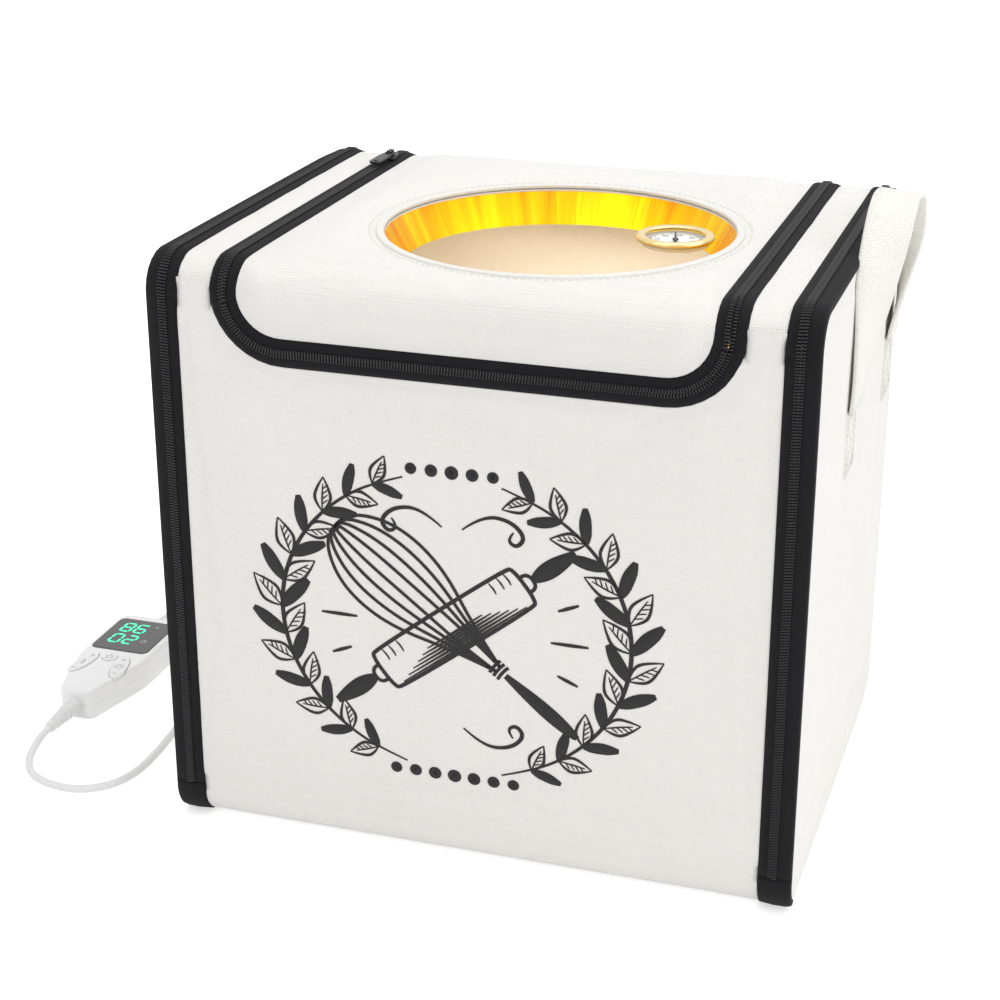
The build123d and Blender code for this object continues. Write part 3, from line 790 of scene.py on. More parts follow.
def fitted(place, kind):
    # beside the lip the seam bends both ways at once: the upper run takes the lip's curve, the lower one the top's;
    # the wall's tape laps round its front edge, not round its back one
    x, y, z = place.translation
    if kind == "wall":
        return place @ Matrix.Scale(1 - 0.28 * lockStep(y, 0.10, 0.14), 4, (1, 0, 0))
    if kind == "upper" and y < -0.14 and z < lip["bendTop"]:
        return Matrix.Translation((-math.copysign(arcShift(lip["corner"], lip["bendTop"] - z), x), 0, 0)) @ place
    if kind == "lower" and z > zipMaking["teethEnd"]:
        return Matrix.Translation((0, arcShift(box["topRound"], z - zipMaking["teethEnd"]), 0)) @ place
    return place


def zipHalf(start, moves, mirrored, kind="plain", offset=0.5):
    flat = sections["side" if kind == "wall" else "plain"]
    if mirrored:
        flat = [(-x, z) for x, z in flat]
    tape = sweepBm(flat, [fitted(place, kind) for place in stations(start, moves, zipMaking["tapeStep"])])
    coil = bmesh.new()
    side = Matrix.Scale(-1, 4, (1, 0, 0)) if mirrored else Matrix.Identity(4)
    half = Matrix.Translation((0, offset * zipMaking["toothPitch"], 0))
    places = stations(start, moves, zipMaking["toothPitch"])[:-1]
    if kind == "lower":
        places = [place for place in places if place.translation.z <= zipMaking["teethEnd"]]
    stamp(coil, tooth, [fitted(place, kind) @ half @ side for place in places])
    bmesh.ops.recalc_face_normals(coil, faces=coil.faces)
    return tape, coil


def makeZip(name, body, halves, replaced):
    # several runs of zip that ride on one body: a tape piece and a coil piece
    tape = bmesh.new()
    coil = bmesh.new()
    for half in halves:
        for source, target in zip(zipHalf(*half), (tape, coil)):
            addBm(target, source)
    tapePiece = keepPiece(tape, name + "Tape", body, "tape")
    keepPiece(coil, name + "Coil", body, "coil", smooth=False)
    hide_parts(replaced)


def upright(x, y, z, rising, facing):
    # the start of a run that goes up or down and faces the front or the back
    return frameAt((x, y, z), (0, 0, rising), (0, facing, 0))


def makeZips():
    low, front = zipMaking["low"], -box["halfDeep"]
    crown = box["high"] - box["topRound"]
    deep = 2 * (box["halfDeep"] - box["topRound"])
    railLow = box["topLow"] + 0.0002
    band = [crown - low, overTop, deep, overTop, crown - low]
    rails = [crown - railLow, overTop, deep, overTop, 0.0004]
    post = [box["topLow"] + 0.0003 - low]
    frontHalves, backHalves, railHalves = [], [], []
    for sign, word in ((1, "right"), (-1, "left")):
        x = sign * (box["halfWide"] - box["wall"])
        lidX = sign * (box["lidHalf"] + 0.0001)
        run = (upright(x, front, low, 1, -1), band, sign < 0, "wall", 0.0)
        makeZip(word + "SideZip", word + "_wall", [run], word + "_zip")
        frontHalves.append((upright(x, front, low, 1, -1), post, sign > 0))
        backHalves.append((upright(x, -front, box["topLow"], -1, 1), post, sign > 0))
        railHalves.append((upright(x, front, railLow, 1, -1), rails, sign > 0))
        railHalves.append((upright(lidX, front, railLow, 1, -1), rails, sign < 0, "upper"))
    makeZip("frontZip", "front_wall", frontHalves, "front_zips")
    makeZip("backZip", "back_wall", backHalves, "back_zips")
    makeZip("railZip", "top", railHalves, "rail_zips")


def makeLidZip():
    # around the lid: back edge, along the right seam, over the front, around the lip, and back on the left
    half, back = box["lidHalf"] - 0.0002, box["halfDeep"]
    crown, corner = box["high"] - box["topRound"], lip["corner"]
    down = crown - lip["low"] - corner
    deep = back - 2 * box["topRound"] - box["front"]
    lower = [down, aside(corner), 2 * (half - corner), aside(corner), down]
    arch = [0.0005, overTop, deep, overTop]
    halves = [(upright(sign * half, back, crown - 0.0005, 1, 1), arch, sign < 0, "upper", 0.0) for sign in (1, -1)]
    halves.append((upright(half, box["front"], crown, -1, -1), lower, False, "lower", 0.0))
    makeZip("lidZip", "lid", halves, "lid_zip")
    grown, outer = corner + 0.0004, half + 0.0004
    around = [aside(grown), 2 * (outer - grown), aside(grown)]
    run = (upright(outer, -back, lip["low"] - 0.0004 + grown, -1, -1), around, True, "lower")
    makeZip("notchZip", "front_wall", [run], "notch_zip")


def makeZipEnds():
    # the tapes run on round the foot of the base, without teeth
    moves = [0.0055, ("X", box["baseRound"], math.pi * 0.36)]
    ends = bmesh.new()
    for across in (1, -1):
        for side in (1, -1):
            start = upright(across * (box["halfWide"] - box["wall"]), side * box["halfDeep"], 0.0255, -1, side)
            flat = [(x * across * side, z) for x, z in sections["foot"]]
            if side > 0:
                flat = [(x * (0.72 if x * across > 0 else 1), max(z, -0.0012)) for x, z in flat]
            addBm(ends, sweepBm(flat, stations(start, moves, 0.003)))
    piece = keepPiece(ends, "baseZipEnds", "base", "tape")
    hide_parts("base_zip_ends")


makeZips()
makeLidZip()
makeZipEnds()
print("zips sewn")


# seams: thin canvas lapped over the joints between the panels

seam = {"step": 0.004, "proud": 0.0003, "sunk": 0.0004, "thick": 0.0008}


def padTree(name):
    return BVHTree.FromObject(pads[name], bpy.context.evaluated_depsgraph_get())


def bridged(line):
    # a row of heights with its hollows filled
    for turn in range(60):
        line = [max(b, (a + c) / 2) for a, b, c in zip([line[0]] + line, line, line[1:] + [line[-1]])]
    return line


def lapSheet(names, along, out, span, rise):
    # follows the padding under it; its long edges dip into the cloth
    trees = [padTree(name) for name in names]
    count = max(2, round((span[1] - span[0]) / seam["step"]))
    rows = 12
    bm = bmesh.new()
    sheets = ([], [])
    for i in range(count + 1):
        flat = along * (span[0] + (span[1] - span[0]) * i / count)
        spots = [flat + Vector((0, 0, rise[0] + (rise[1] - rise[0]) * k / rows)) for k in range(rows + 1)]
        heights = []
        for spot in spots:
            hits = [tree.ray_cast(spot + out * 0.3, -out)[0] for tree in trees]
            heights.append(max([hit.dot(out) for hit in hits if hit], default=-1))
        for k, (spot, height) in enumerate(zip(spots, bridged(heights))):
            fade = lockStep(min(k, rows - k) / rows, 0, 0.4) * min(1, 0.2 + min(i, count - i) / 2)
            lift = height + (seam["proud"] + seam["sunk"]) * fade - seam["sunk"]
            for sheet, depth in zip(sheets, (0, seam["thick"])):
                sheet.append(bm.verts.new(spot + out * (lift - depth)))
    wide = rows + 1
    for sheet in sheets:
        for i in range(count):
            for k in range(rows):
                at = i * wide + k
                bm.faces.new((sheet[at], sheet[at + 1], sheet[at + 1 + wide], sheet[at + wide]))
    bmesh.ops.bridge_loops(bm, edges=[e for e in bm.edges if e.is_boundary])
    bmesh.ops.recalc_face_normals(bm, faces=bm.faces)
    return bm


def lapSeam(name, sheet, body, other=None):
    piece = keepPiece(lapSheet(*sheet), name, None if other else body, "canvas")
    if other:
        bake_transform(piece)


def makeSeams():
    wide, low = 0.1718, (0.0165, 0.0335)
    top = (0.3230, 0.3455)
    x, y = Vector((1, 0, 0)), Vector((0, 1, 0))
    lapSeam("frontHem", (["basePad", "frontPanel"], x, -y, (-wide, wide), low), "base", "front_wall")
    lapSeam("backHem", (["basePad", "backPanel"], x, y, (-wide, wide), low), "base", "back_wall")
    lapSeam("lidHinge", (["backPanel", "lidPad"], x, y, (-0.1410, 0.1410), (0.3296, 0.3384)), "lid")
    for sign, word in ((1, "right"), (-1, "left")):
        lapSeam(word + "Hem", (["basePad", word + "Side"], y, x * sign, (-0.149, 0.149), low), "base",
                word + "_wall")
        span = sorted([sign * 0.1514, sign * wide])
        lapSeam(word + "FrontSeam", (["frontPanel", "topRails"], x, -y, span, top), "front_wall")
        lapSeam(word + "BackSeam", (["backPanel", "topRails"], x, y, span, top), "back_wall", "top")


makeSeams()
print("seams covered")


# stitches

stitch = {"long": 0.0026, "pitch": 0.0042, "thick": 0.0007}


def stitchMesh():
    bm = bmesh.new()
    bmesh.ops.create_uvsphere(bm, u_segments=6, v_segments=4, radius=0.5)
    bmesh.ops.scale(bm, vec=(stitch["thick"], stitch["long"], stitch["thick"]), verts=bm.verts)
    return meshOf(bm)


oneStitch = stitchMesh()


def windowStitches():
    bm = bmesh.new()
    radius = window["stitched"]
    count = round(2 * math.pi * radius / stitch["pitch"])
    tree = padTree("lidPad")
    places = []
    for i in range(count):
        angle = 2 * math.pi * i / count
        ahead = Vector((-math.sin(angle), math.cos(angle), 0))
        spot = Vector((window["x"] + radius * ahead.y, window["y"] - radius * ahead.x, 0.4))
        hit = tree.ray_cast(spot, Vector((0, 0, -1)))[0]
        places.append(frameAt((spot.x, spot.y, hit.z + 0.0001), ahead, (0, 0, 1)))
    stamp(bm, oneStitch, places)
    keepPiece(bm, "windowStitches", "lid", "thread")


windowStitches()
print("window stitched")


# handles

handle = {"foot": (0.1943, 0.030, 0.272), "span": 0.145, "rise": 0.115, "wide": 0.033, "thick": 0.0028,
          "lean": 4, "gather": 0.25, "sag": 0.16, "outer": 0.062, "tabLow": 0.232, "tabHigh": 0.2735,
          "tabOut": 0.1926}


def strapSection():
    # webbing edge to edge, thin, with rounded selvedges
    half, t = handle["wide"] / 2, handle["thick"] / 2
    upper = [(-half, t * 0.5), (-half + 0.0008, t), (-half * 0.4, t * 0.9)]
    upper += [(-x, z) for x, z in reversed(upper)]
    return upper + [(x, -z) for x, z in reversed(upper)]


def strapMiddle(angle):
    across = math.copysign(abs(math.cos(angle)) ** 0.8, -math.cos(angle))
    rise = abs(math.sin(angle)) ** 0.8 * (1 - handle["sag"] * lockStep(across, -0.6, 1.0))
    return Vector((0, across * handle["span"] / 2, rise * (handle["rise"] - handle["thick"] / 2)))


def standingPlaces():
    # flat on the wall at its feet, turned a quarter at its crown
    places = []
    for i in range(81):
        angle = math.pi * i / 80
        ahead = (strapMiddle(min(math.pi, angle + 0.01)) - strapMiddle(max(0, angle - 0.01))).normalized()
        turn = math.radians(90) * (1 - abs(math.sin(angle)) ** 1.4)
        side = Vector((math.cos(turn), 0, 0)) + ahead.cross(Vector((1, 0, 0))) * math.sin(turn)
        axes = Matrix((side, ahead, side.cross(ahead))).transposed().to_4x4()
        gather = Matrix.Scale(1 - handle["gather"] * math.sin(angle) ** 2, 4, (1, 0, 0))
        places.append(Matrix.Translation(strapMiddle(angle)) @ axes @ gather)
    return places


def hangingPlaces():
    middle, leg = handle["outer"] - handle["wide"] / 2, handle["rise"] - handle["outer"]
    moves = [leg, aside(middle), handle["span"] - 2 * middle, aside(middle), leg]
    return stations(frameAt((0, -handle["span"] / 2, 0), (0, 0, -1), (-1, 0, 0)), moves, 0.004)


def makeHandle(sign, word, places, lean):
    x, y, z = handle["foot"]
    bm = sweepBm(strapSection(), places)
    for vert in bm.verts:
        away = lockStep(abs(vert.co.z), 0, 0.03)
        vert.co.x += sign * away * (0.0009 + noise.noise(vert.co * 26) * 0.0012)
    stand = Matrix.Translation((sign * x, y, z)) @ Matrix.Rotation(math.radians(lean), 4, "Y")
    bmesh.ops.transform(bm, matrix=stand, verts=bm.verts)
    piece = keepPiece(bm, word + "Strap", word + "_grip", "strap")
    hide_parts(word + "_handle")


def makeTabs(sign, word):
    # the strap's tails, sewn to the wall with a crossed box of stitches
    tabs = bmesh.new()
    rows = bmesh.new()
    low, high = handle["tabLow"], handle["tabHigh"]
    for leg in (-1, 1):
        y = handle["foot"][1] + leg * handle["span"] / 2
        xs = sorted([sign * (box["halfWide"] + 0.0002), sign * handle["tabOut"]])
        tab = blockBm((xs[0], y - handle["wide"] / 2, low), (xs[1], y + handle["wide"] / 2, high))
        roundEdges(tab, 0, lambda c: True, 0.002, 3)
        addBm(tabs, tab)
        corners = [(y - 0.0135, low + 0.003), (y + 0.0135, low + 0.003), (y + 0.0135, low + 0.034),
                   (y - 0.0135, low + 0.034)]
        places = []
        for i, k in ((0, 1), (1, 2), (2, 3), (3, 0), (0, 2), (1, 3)):
            a, b = corners[i], corners[k]
            run = Vector((0, b[0] - a[0], b[1] - a[1]))
            count = round(run.length / stitch["pitch"])
            for i in range(count):
                spot = Vector((sign * (handle["tabOut"] + 0.0001), a[0], a[1])) + run * ((i + 0.5) / count)
                places.append(frameAt(spot, run, (sign, 0, 0)))
        stamp(rows, oneStitch, places)
    keepPiece(tabs, word + "Tabs", word + "_wall", "strap")
    keepPiece(rows, word + "TabStitches", word + "_wall", "thread")


makeHandle(1, "right", standingPlaces(), handle["lean"])
makeHandle(-1, "left", hangingPlaces(), 0)
makeTabs(1, "right")
makeTabs(-1, "left")
print("handles sewn on")


# front print: crossed rolling pin and whisk in a leafy ring

picture = {"middle": (-0.009, 0.154), "wide": 0.238, "tall": 0.206, "lift": 0.00025}


def inkCurve():
    curve = bpy.data.curves.new("ink", "CURVE")
    curve.dimensions = "3D"
    curve.twist_mode = "Z_UP"
    curve.extrude = 0.0005
    curve.resolution_u = 8
    return curve


def stroke(curve, points, width=1.0, taper=True, closed=False):
    # a pen line in the picture's own plane; its width swells in the middle
    last = len(points) - 1
    for i, point in enumerate(smoothLine(curve, [(x, y, 0) for x, y in points], closed)):
        point.tilt = math.pi / 2
        point.radius = width * (math.sin(math.pi * (0.12 + 0.76 * i / last)) if taper else 1.0)


def turned(points, angle, shift=(0, 0), size=1.0):
    c, s = math.cos(angle), math.sin(angle)
    return [(shift[0] + size * (x * c - y * s), shift[1] + size * (x * s + y * c)) for x, y in points]


def ovalPoints(wide, tall, count=12):
    angles = [2 * math.pi * i / count for i in range(count)]
    return [(wide * math.cos(angle), tall * math.sin(angle)) for angle in angles]


def pen(curve, angle, place=(0, 0), size=1.0):
    # draws lines turned and moved to their place
    return lambda points, *look: stroke(curve, turned(points, angle, place, size), *look)


def drawPin(line):
    # rolling pin: shaded barrel, collars and dark turned grips
    line([(-0.050, -0.0135), (-0.054, -0.011), (-0.054, 0.011), (-0.050, 0.0135), (0.050, 0.0135), (0.054, 0.011),
          (0.054, -0.011), (0.050, -0.0135)], 2.4, False, True)
    for sign in (-1, 1):
        line([(sign * x, y) for x, y in ((0.0545, -0.005), (0.060, -0.0055), (0.060, 0.0055), (0.0545, 0.005))],
             2.2, False)
        line([(sign * x, 0) for x in (0.060, 0.066, 0.080, 0.091)], 11.5)
    for row in range(6):
        y, reach = -0.0112 + row * 0.0019, 0.047 - row * 0.0052
        line([(-reach, y), (-reach * 0.3, y - 0.0003), (reach * 0.5, y), (reach, y)], 1.9)
    for x in (-0.046, -0.041, -0.035, 0.036, 0.042, 0.047):
        line([(x, 0.0118), (x + 0.001, 0.007), (x, 0.004)], 1.6)


def drawWhisk(line):
    # whisk: dark grip with rings, then the loops of wire
    line([(-0.094, 0), (-0.086, 0), (-0.060, 0), (-0.040, 0)], 9.5)
    for x in (-0.038, -0.035, -0.032):
        line([(x, -0.0052), (x + 0.001, 0), (x, 0.0052)], 2.0, False)
    for bow in (0.004, 0.0115, 0.019, 0.0265):
        half = [(-0.034, 0.002), (-0.010, 0.003 + bow * 0.25), (0.028, bow), (0.062, bow * 1.05), (0.086, bow * 0.55)]
        line(half + [(0.090, 0.0)] + [(x, -y) for x, y in reversed(half)], 2.0, False)


def drawLeaf(curve, place, angle, size, dark):
    line = pen(curve, angle, place, size)
    if dark:
        line([(0, 0), (0.004, 0), (0.012, 0.0004), (0.019, 0), (0.024, 0)], 8.5 * size)
        return
    for side in (1, -1):
        line([(0, 0), (0.006, side * 0.0054), (0.014, side * 0.0056), (0.024, 0.0)], 2.0)
    line([(0, 0), (0.010, 0.0006), (0.019, 0.0)], 1.5)
    for x in (0.005, 0.0085, 0.012, 0.0155):
        line([(x, 0), (x + 0.002, -0.0018), (x + 0.0035, -0.0036)], 1.2)


def drawSprig(curve, side):
    # half of the ring: a stem with leaves in pairs, one dark and one veined
    wide, tall = picture["wide"] / 2 - 0.014, picture["tall"] / 2 - 0.010
    stem = []
    for i in range(15):
        angle = math.radians(-74 + 148 * i / 14)
        stem.append((side * wide * math.cos(angle), tall * math.sin(angle)))
    stroke(curve, stem, 2.6)
    for i in range(1, 14):
        ahead = math.atan2(stem[i + 1][1] - stem[i - 1][1], stem[i + 1][0] - stem[i - 1][0])
        size = 0.74 + 0.045 * min(i, 14 - i)
        drawLeaf(curve, stem[i], ahead + 0.75, size, i % 2 == 0)
        drawLeaf(curve, stem[i], ahead - 0.75, size, i % 2 == 1)


def drawDots(curve, y, count, size):
    for i in range(count):
        away = i - (count - 1) / 2
        grow = size * (1 - 0.5 * abs(away) / count)
        for share in (1.0, 0.6, 0.2):
            stroke(curve, turned(ovalPoints(grow * share, grow * share, 8), 0, (away * 0.012, y)), 2.0, False, True)


def makePrint():
    curve = inkCurve()
    drawPin(pen(curve, math.radians(38)))
    drawWhisk(pen(curve, math.radians(142)))
    drawSprig(curve, 1)
    drawSprig(curve, -1)
    drawDots(curve, picture["tall"] / 2 - 0.008, 5, 0.0032)
    drawDots(curve, -picture["tall"] / 2 + 0.008, 7, 0.0034)
    swirl = [(0.006, -0.062), (0.018, -0.072), (0.034, -0.071), (0.043, -0.062), (0.038, -0.055), (0.032, -0.059),
             (0.036, -0.064)]
    for side, flip in ((-1, -1), (1, -1), (1, 1)):
        stroke(curve, [(side * x, flip * y) for x, y in swirl], 2.6)
    for side in (-1, 1):
        for level, reach in ((-0.020, 0.020), (0, 0.030), (0.020, 0.020)):
            if side < 0 < level:
                continue    # the whisk lies there
            near, far = side * (0.058 + 0.2 * abs(level)), side * (0.062 + reach * 0.6)
            stroke(curve, [(near, level), ((near + far) / 2, level * 1.125), (far, level * 1.25)], 3.2)
    mesh = curveMesh(curve)
    tree = padTree("frontPanel")
    for vert in mesh.vertices:
        spot = Vector((picture["middle"][0] + vert.co.x, -0.3, picture["middle"][1] + vert.co.y))
        hit = tree.ray_cast(spot, Vector((0, 1, 0)))[0]
        vert.co = (spot.x, hit.y - picture["lift"], spot.z)
    piece = keepMesh(mesh, "frontPrint", "front_wall", "ink")
    thicken(piece, 0.00012)


makePrint()
print("front printed")


# gauge marks

gauge = {"middle": (0.082, -0.021), "face": 0.3541, "radius": 0.0160}


def flatText(words, size, body, paint, name, places):
    # each word lies flat where its matrix puts it
    bm = bmesh.new()
    for word, place in zip(words, places):
        text = bpy.data.curves.new("words", "FONT")
        text.body = word
        text.size = size
        text.align_x = "CENTER"
        text.align_y = "CENTER"
        text.extrude = 0.00004
        stamp(bm, curveMesh(text), [place])
    return keepPiece(bm, name, body, paint, smooth=False)


def dialSpot(angle, inset, lift):
    x, y = gauge["middle"]
    reach = gauge["radius"] - inset
    return Matrix.Translation((x + reach * math.cos(angle), y + reach * math.sin(angle), gauge["face"] + lift))


def makeGauge():
    bm = bmesh.new()
    words, places = [], []
    for i in range(61):
        angle = math.radians(225 - 270 * i / 60)
        big = i % 5 == 0
        long = 0.0022 if big else 0.0012
        place = dialSpot(angle, long / 2, 0.00002) @ Matrix.Rotation(angle - math.pi / 2, 4, "Z")
        half = 0.000175 if big else 0.0001
        addBm(bm, blockBm((-half, -long / 2, 0), (half, long / 2, 0.00008)), place)
        if i % 10 == 0:
            words.append(str(i))
            places.append(dialSpot(angle, 0.0050, 0.00006))
    keepPiece(bm, "gaugeTicks", "lid", "black", smooth=False)
    flatText(words, 0.0036, "lid", "black", "gaugeNumbers", places)


def turnedPiece(name, profile, paint, node):
    # a closed profile of radius and height, turned about the gauge's middle
    bm = bmesh.new()
    ring = [bm.verts.new((r, 0, z)) for r, z in profile]
    edges = [bm.edges.new(pair) for pair in zip(ring, ring[1:] + ring[:1])]
    bmesh.ops.spin(bm, geom=ring + edges, cent=(0, 0, 0), axis=(0, 0, 1), angle=2 * math.pi, steps=96, use_merge=True)
    bmesh.ops.remove_doubles(bm, verts=bm.verts, dist=0.000001)
    bmesh.ops.recalc_face_normals(bm, faces=bm.faces)
    bmesh.ops.translate(bm, vec=(*gauge["middle"], 0), verts=bm.verts)
    piece = keepPiece(bm, name, "lid", paint)
    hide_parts(node)


makeGauge()
turnedPiece("bezelRing", [(0.0211, 0.3549), (0.0225, 0.3549), (0.0225, 0.3565), (0.0220, 0.3576), (0.0212, 0.3580),
                          (0.0178, 0.3577), (0.0172, 0.3573), (0.0172, 0.3568), (0.0211, 0.3568)],
            "gold", "gauge_bezel")
turnedPiece("gaugeCup", [(0.0002, 0.3520), (0.0194, 0.3520), (0.0194, 0.3549), (0.0188, 0.3549), (0.0188, 0.3528),
                         (0.0002, 0.3528)], "cream", "gauge_case")
print("gauge marked")


# controller signs

control = {"x": -0.312, "display": 0.0227, "segment": 0.0012, "digitWide": 0.0072, "digitHigh": 0.0125,
           "rocker": (0.0138, -0.021), "rockerTurn": math.radians(10), "powerHigh": 0.02285, "rockerHigh": 0.02289,
           "signHigh": 0.02278}
bars = {"0": "abcdef", "2": "abged", "6": "afgedc", "8": "abcdefg"}


def segmentBm(bm, place, long):
    # one lit bar of a digit, with pointed ends
    bar = blockBm((-long / 2, -control["segment"] / 2, 0), (long / 2, control["segment"] / 2, 0.00008))
    ends = [e for e in bar.edges if abs(e.verts[0].co.z - e.verts[1].co.z) > 0.00005]
    bmesh.ops.bevel(bar, geom=ends, offset=control["segment"] * 0.45, segments=1, profile=0.5, affect="EDGES",
                    material=-1)
    addBm(bm, bar, place)


def makeDigits():
    bm = bmesh.new()
    wide, tall = control["digitWide"], control["digitHigh"]
    spots = {"a": (0, tall / 2, 0), "b": (wide / 2, tall / 4, 90), "c": (wide / 2, -tall / 4, 90),
             "d": (0, -tall / 2, 0), "e": (-wide / 2, -tall / 4, 90), "f": (-wide / 2, tall / 4, 90), "g": (0, 0, 0)}
    for row, number in ((0.0375, "86"), (0.0195, "02")):
        for column, digit in enumerate(number):
            for letter in bars[digit]:
                x, y, turn = spots[letter]
                long = (wide if turn == 0 else tall / 2) - 0.0011
                spot = (control["x"] - 0.0095 + 0.0105 * column + x + y * 0.08, row + y, control["display"])
                place = Matrix.Translation(spot) @ Matrix.Rotation(math.radians(turn - (5 if turn else 0)), 4, "Z")
                segmentBm(bm, place, long)
    keepPiece(bm, "displayDigits", "base", "green", smooth=False)


def signPiece(name, body, paint, lines, z, width):
    curve = inkCurve()
    curve.extrude = width
    for points, closed in lines:
        stroke(curve, points, 1.0, False, closed)
    mesh = curveMesh(curve)
    mesh.transform(Matrix.Translation((0, 0, z)))
    piece = keepMesh(mesh, name, body, paint)
    thicken(piece, 0.00008)


def makeSigns():
    x = control["x"]
    ring = [(x + 0.0024 * math.sin(math.radians(a)), -0.0088 + 0.0024 * math.cos(math.radians(a)))
            for a in range(35, 330, 24)]
    bar = [(x, -0.0052), (x, -0.0070), (x, -0.0086)]
    signPiece("powerSign", "power_key", "sign", [(ring, False), (bar, False)], control["powerHigh"], 0.00022)
    for sign, word in ((-1, "temp"), (1, "time")):
        keyX, keyY = x + sign * control["rocker"][0], control["rocker"][1]
        plus, minus = turned([(0, 0.0105), (0, -0.0105)], sign * control["rockerTurn"], (keyX, keyY))
        lines = [([(px - 0.0018, py), (px, py), (px + 0.0018, py)], False) for px, py in (plus, minus)]
        lines.append(([(plus[0], plus[1] + up) for up in (-0.0018, 0, 0.0018)], False))
        if word == "temp":
            tube = [(-0.0006, 0.003), (-0.0006, 0), (-0.0011, -0.0018), (0, -0.0031), (0.0011, -0.0018), (0.0006, 0),
                    (0.0006, 0.003)]
            lines.append((turned(tube, 0, (keyX, keyY)), True))
        else:
            lines.append((turned(ovalPoints(0.0028, 0.0028), 0, (keyX, keyY)), True))
            lines.append((turned([(0, 0.0017), (0, 0), (0.0013, -0.0006)], 0, (keyX, keyY)), False))
        signPiece(word + "Sign", word + "_key", "sign", lines, control["rockerHigh"], 0.00016)
    degree = turned(ovalPoints(0.0011, 0.0011, 10), 0, (x + 0.0105, 0.0430))
    clock = turned(ovalPoints(0.0021, 0.0021), 0, (x + 0.0115, 0.0195))
    hands = turned([(0, 0.0013), (0, 0), (0.0011, -0.0005)], 0, (x + 0.0115, 0.0195))
    lines = [(degree, True), (clock, True), (hands, False)]
    signPiece("displaySigns", "base", "pale", lines, control["signHigh"], 0.00018)


def makeKeyWells():
    # the rockers' wells reach past the case's sloping sides: a thin wall under each rocker closes them
    bm = bmesh.new()
    low, high, count = 0.0111, 0.0197, 72
    for sign in (-1, 1):
        place = (control["x"] + sign * control["rocker"][0], control["rocker"][1])
        rings = []
        for grow, z in ((0.0002, low), (0.0002, high), (0.00045, high), (0.00045, low)):
            spots = turned(ovalPoints(0.0054 + grow, 0.016 + grow, count), sign * control["rockerTurn"], place)
            rings.append([bm.verts.new((x, y, z)) for x, y in spots])
        for ring, after in zip(rings, rings[1:] + rings[:1]):
            for i in range(count):
                bm.faces.new((ring[i - 1], ring[i], after[i], after[i - 1]))
    bmesh.ops.recalc_face_normals(bm, faces=bm.faces)
    keepPiece(bm, "keyWells", "base", "shell", smooth=False)


makeDigits()
makeSigns()
makeKeyWells()
print("controller marked")


# heating mat: thin quilted cloth on the base

mat = {"wide": 0.300, "deep": 0.210, "thick": 0.0022, "quilt": 0.030}


def makeMat():
    bm = blockBm((-mat["wide"] / 2, -mat["deep"] / 2, box["base"] + 0.0001),
                 (mat["wide"] / 2, mat["deep"] / 2, box["base"] + mat["thick"]))
    roundEdges(bm, 2, lambda c: True, 0.014, 5)
    cutBm(bm, 0, 0.005)
    cutBm(bm, 1, 0.005)
    for vert in bm.verts:
        if vert.co.z > box["base"] + 0.001:
            pillow = abs(math.sin(math.pi * vert.co.x / mat["quilt"]) * math.sin(math.pi * vert.co.y / mat["quilt"]))
            vert.co.z += 0.0007 * pillow ** 0.4 - 0.0003
    piece = keepPiece(bm, "matPad", "base", "mat")
    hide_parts("heating_mat")


makeMat()
print("mat laid")


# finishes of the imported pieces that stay

dressed = {"rubber": ["cable_gland", "mat_lead", "button_end_boot", "display_end_boot", "plug_body"],
           "slider": ["lid_slider", "lid_pull", "right_slider", "right_pull", "left_slider", "left_pull"],
           "shell": ["controller_back", "controller_front"],
           "button": ["power_button", "temp_rocker", "time_rocker"],
           "foil": ["lid_lining"], "canvas": ["window_ring"], "film": ["window_film"], "dial": ["gauge_dial"],
           "lens": ["gauge_lens"], "black": ["gauge_needle"], "screen": ["display_window"],
           "circuit": ["control_board"], "blades": ["plug_blades"]}

for paint, nodes in dressed.items():
    for node in nodes:
        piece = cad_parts[node]
        if not piece.material_slots:
            piece.data.materials.append(finish[paint])
        for place in piece.material_slots:
            place.material = finish[paint]

print("packed pieces finished")


# stage and light

seenRays = ["Is Camera Ray", "Is Glossy Ray", "Is Transmission Ray"]


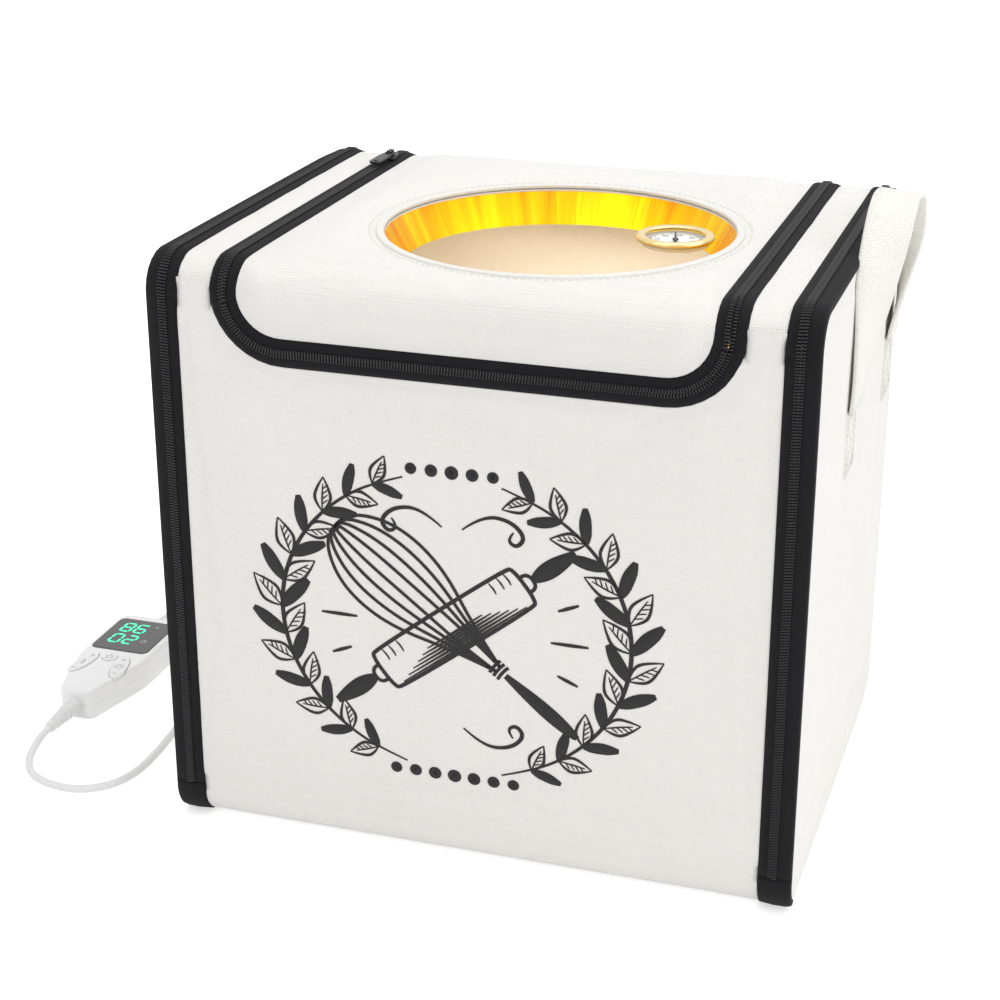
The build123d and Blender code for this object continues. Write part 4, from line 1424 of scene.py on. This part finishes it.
def floorPaint():
    # white to the camera but for the shadow beside the object, its glow weaker near the object than further out;
    # plain and pale to the light it throws back, and also glowing faintly to all rays as a fill light from below
    paint = Paint("floorPale", Roughness=0.9, Emission_Strength=1.0)
    outputs = paint.node("ShaderNodeLightPath", {}, []).socket.node.outputs
    camera, *others = [Wire(paint, outputs[ray]) for ray in seenRays]
    seen = camera.maths("MAXIMUM", others[0]).maths("MAXIMUM", others[1])
    x, y = paint.axes()[:2]
    far = ((x * x + y * y).maths("SQRT") * 0.8 - 0.2).clamped() * 0.6 + 0.32
    glow = paint.blend(seen * far + 0.17, (0.0, 0.0, 0.0), (1.0, 1.0, 1.0))
    paint.plug(paint.surface.inputs["Emission Color"], glow)
    paint.colour(paint.blend(seen, (0.84, 0.84, 0.84), (0.88, 0.88, 0.88)))
    return paint.material


def setStage():
    bm = bmesh.new()
    bmesh.ops.create_grid(bm, x_segments=8, y_segments=8, size=6)
    floor = keepPiece(bm, "floor", None, None, smooth=False)
    floor.data.materials.append(floorPaint())
    world = bpy.data.worlds.new("studio")
    scene.world = world
    world.use_nodes = True
    nodes, links = world.node_tree.nodes, world.node_tree.links
    sky = nodes["Background"]
    sky.inputs["Color"].default_value = (1, 1, 1, 1)
    path = nodes.new("ShaderNodeLightPath")
    seen = path.outputs[seenRays[0]]
    for ray in seenRays[1:]:
        either = nodes.new("ShaderNodeMath")
        either.operation = "MAXIMUM"
        links.new(seen, either.inputs[0])
        links.new(path.outputs[ray], either.inputs[1])
        seen = either.outputs[0]
    strength = nodes.new("ShaderNodeMapRange")
    strength.inputs["To Min"].default_value = light["world"]
    strength.inputs["To Max"].default_value = 1.0
    links.new(seen, strength.inputs["Value"])
    links.new(strength.outputs[0], sky.inputs["Strength"])
    addLamp("keyLamp", (-0.9, -1.6, 1.7), (0, 0, 0.15), 1.6, light["key"])
    addLamp("sideLamp", (1.9, -0.6, 0.8), (0.19, 0, 0.15), 1.6, light["side"])
    addLamp("topLamp", (0.3, 0.4, 2.0), (0, 0, 0.3), 1.8, light["top"])
    addLamp("chamberLamp", (0.0, 0.0, 0.32), (0.0, 0.0, 0.0), 0.20, light["inside"])


setStage()
print("stage lit")
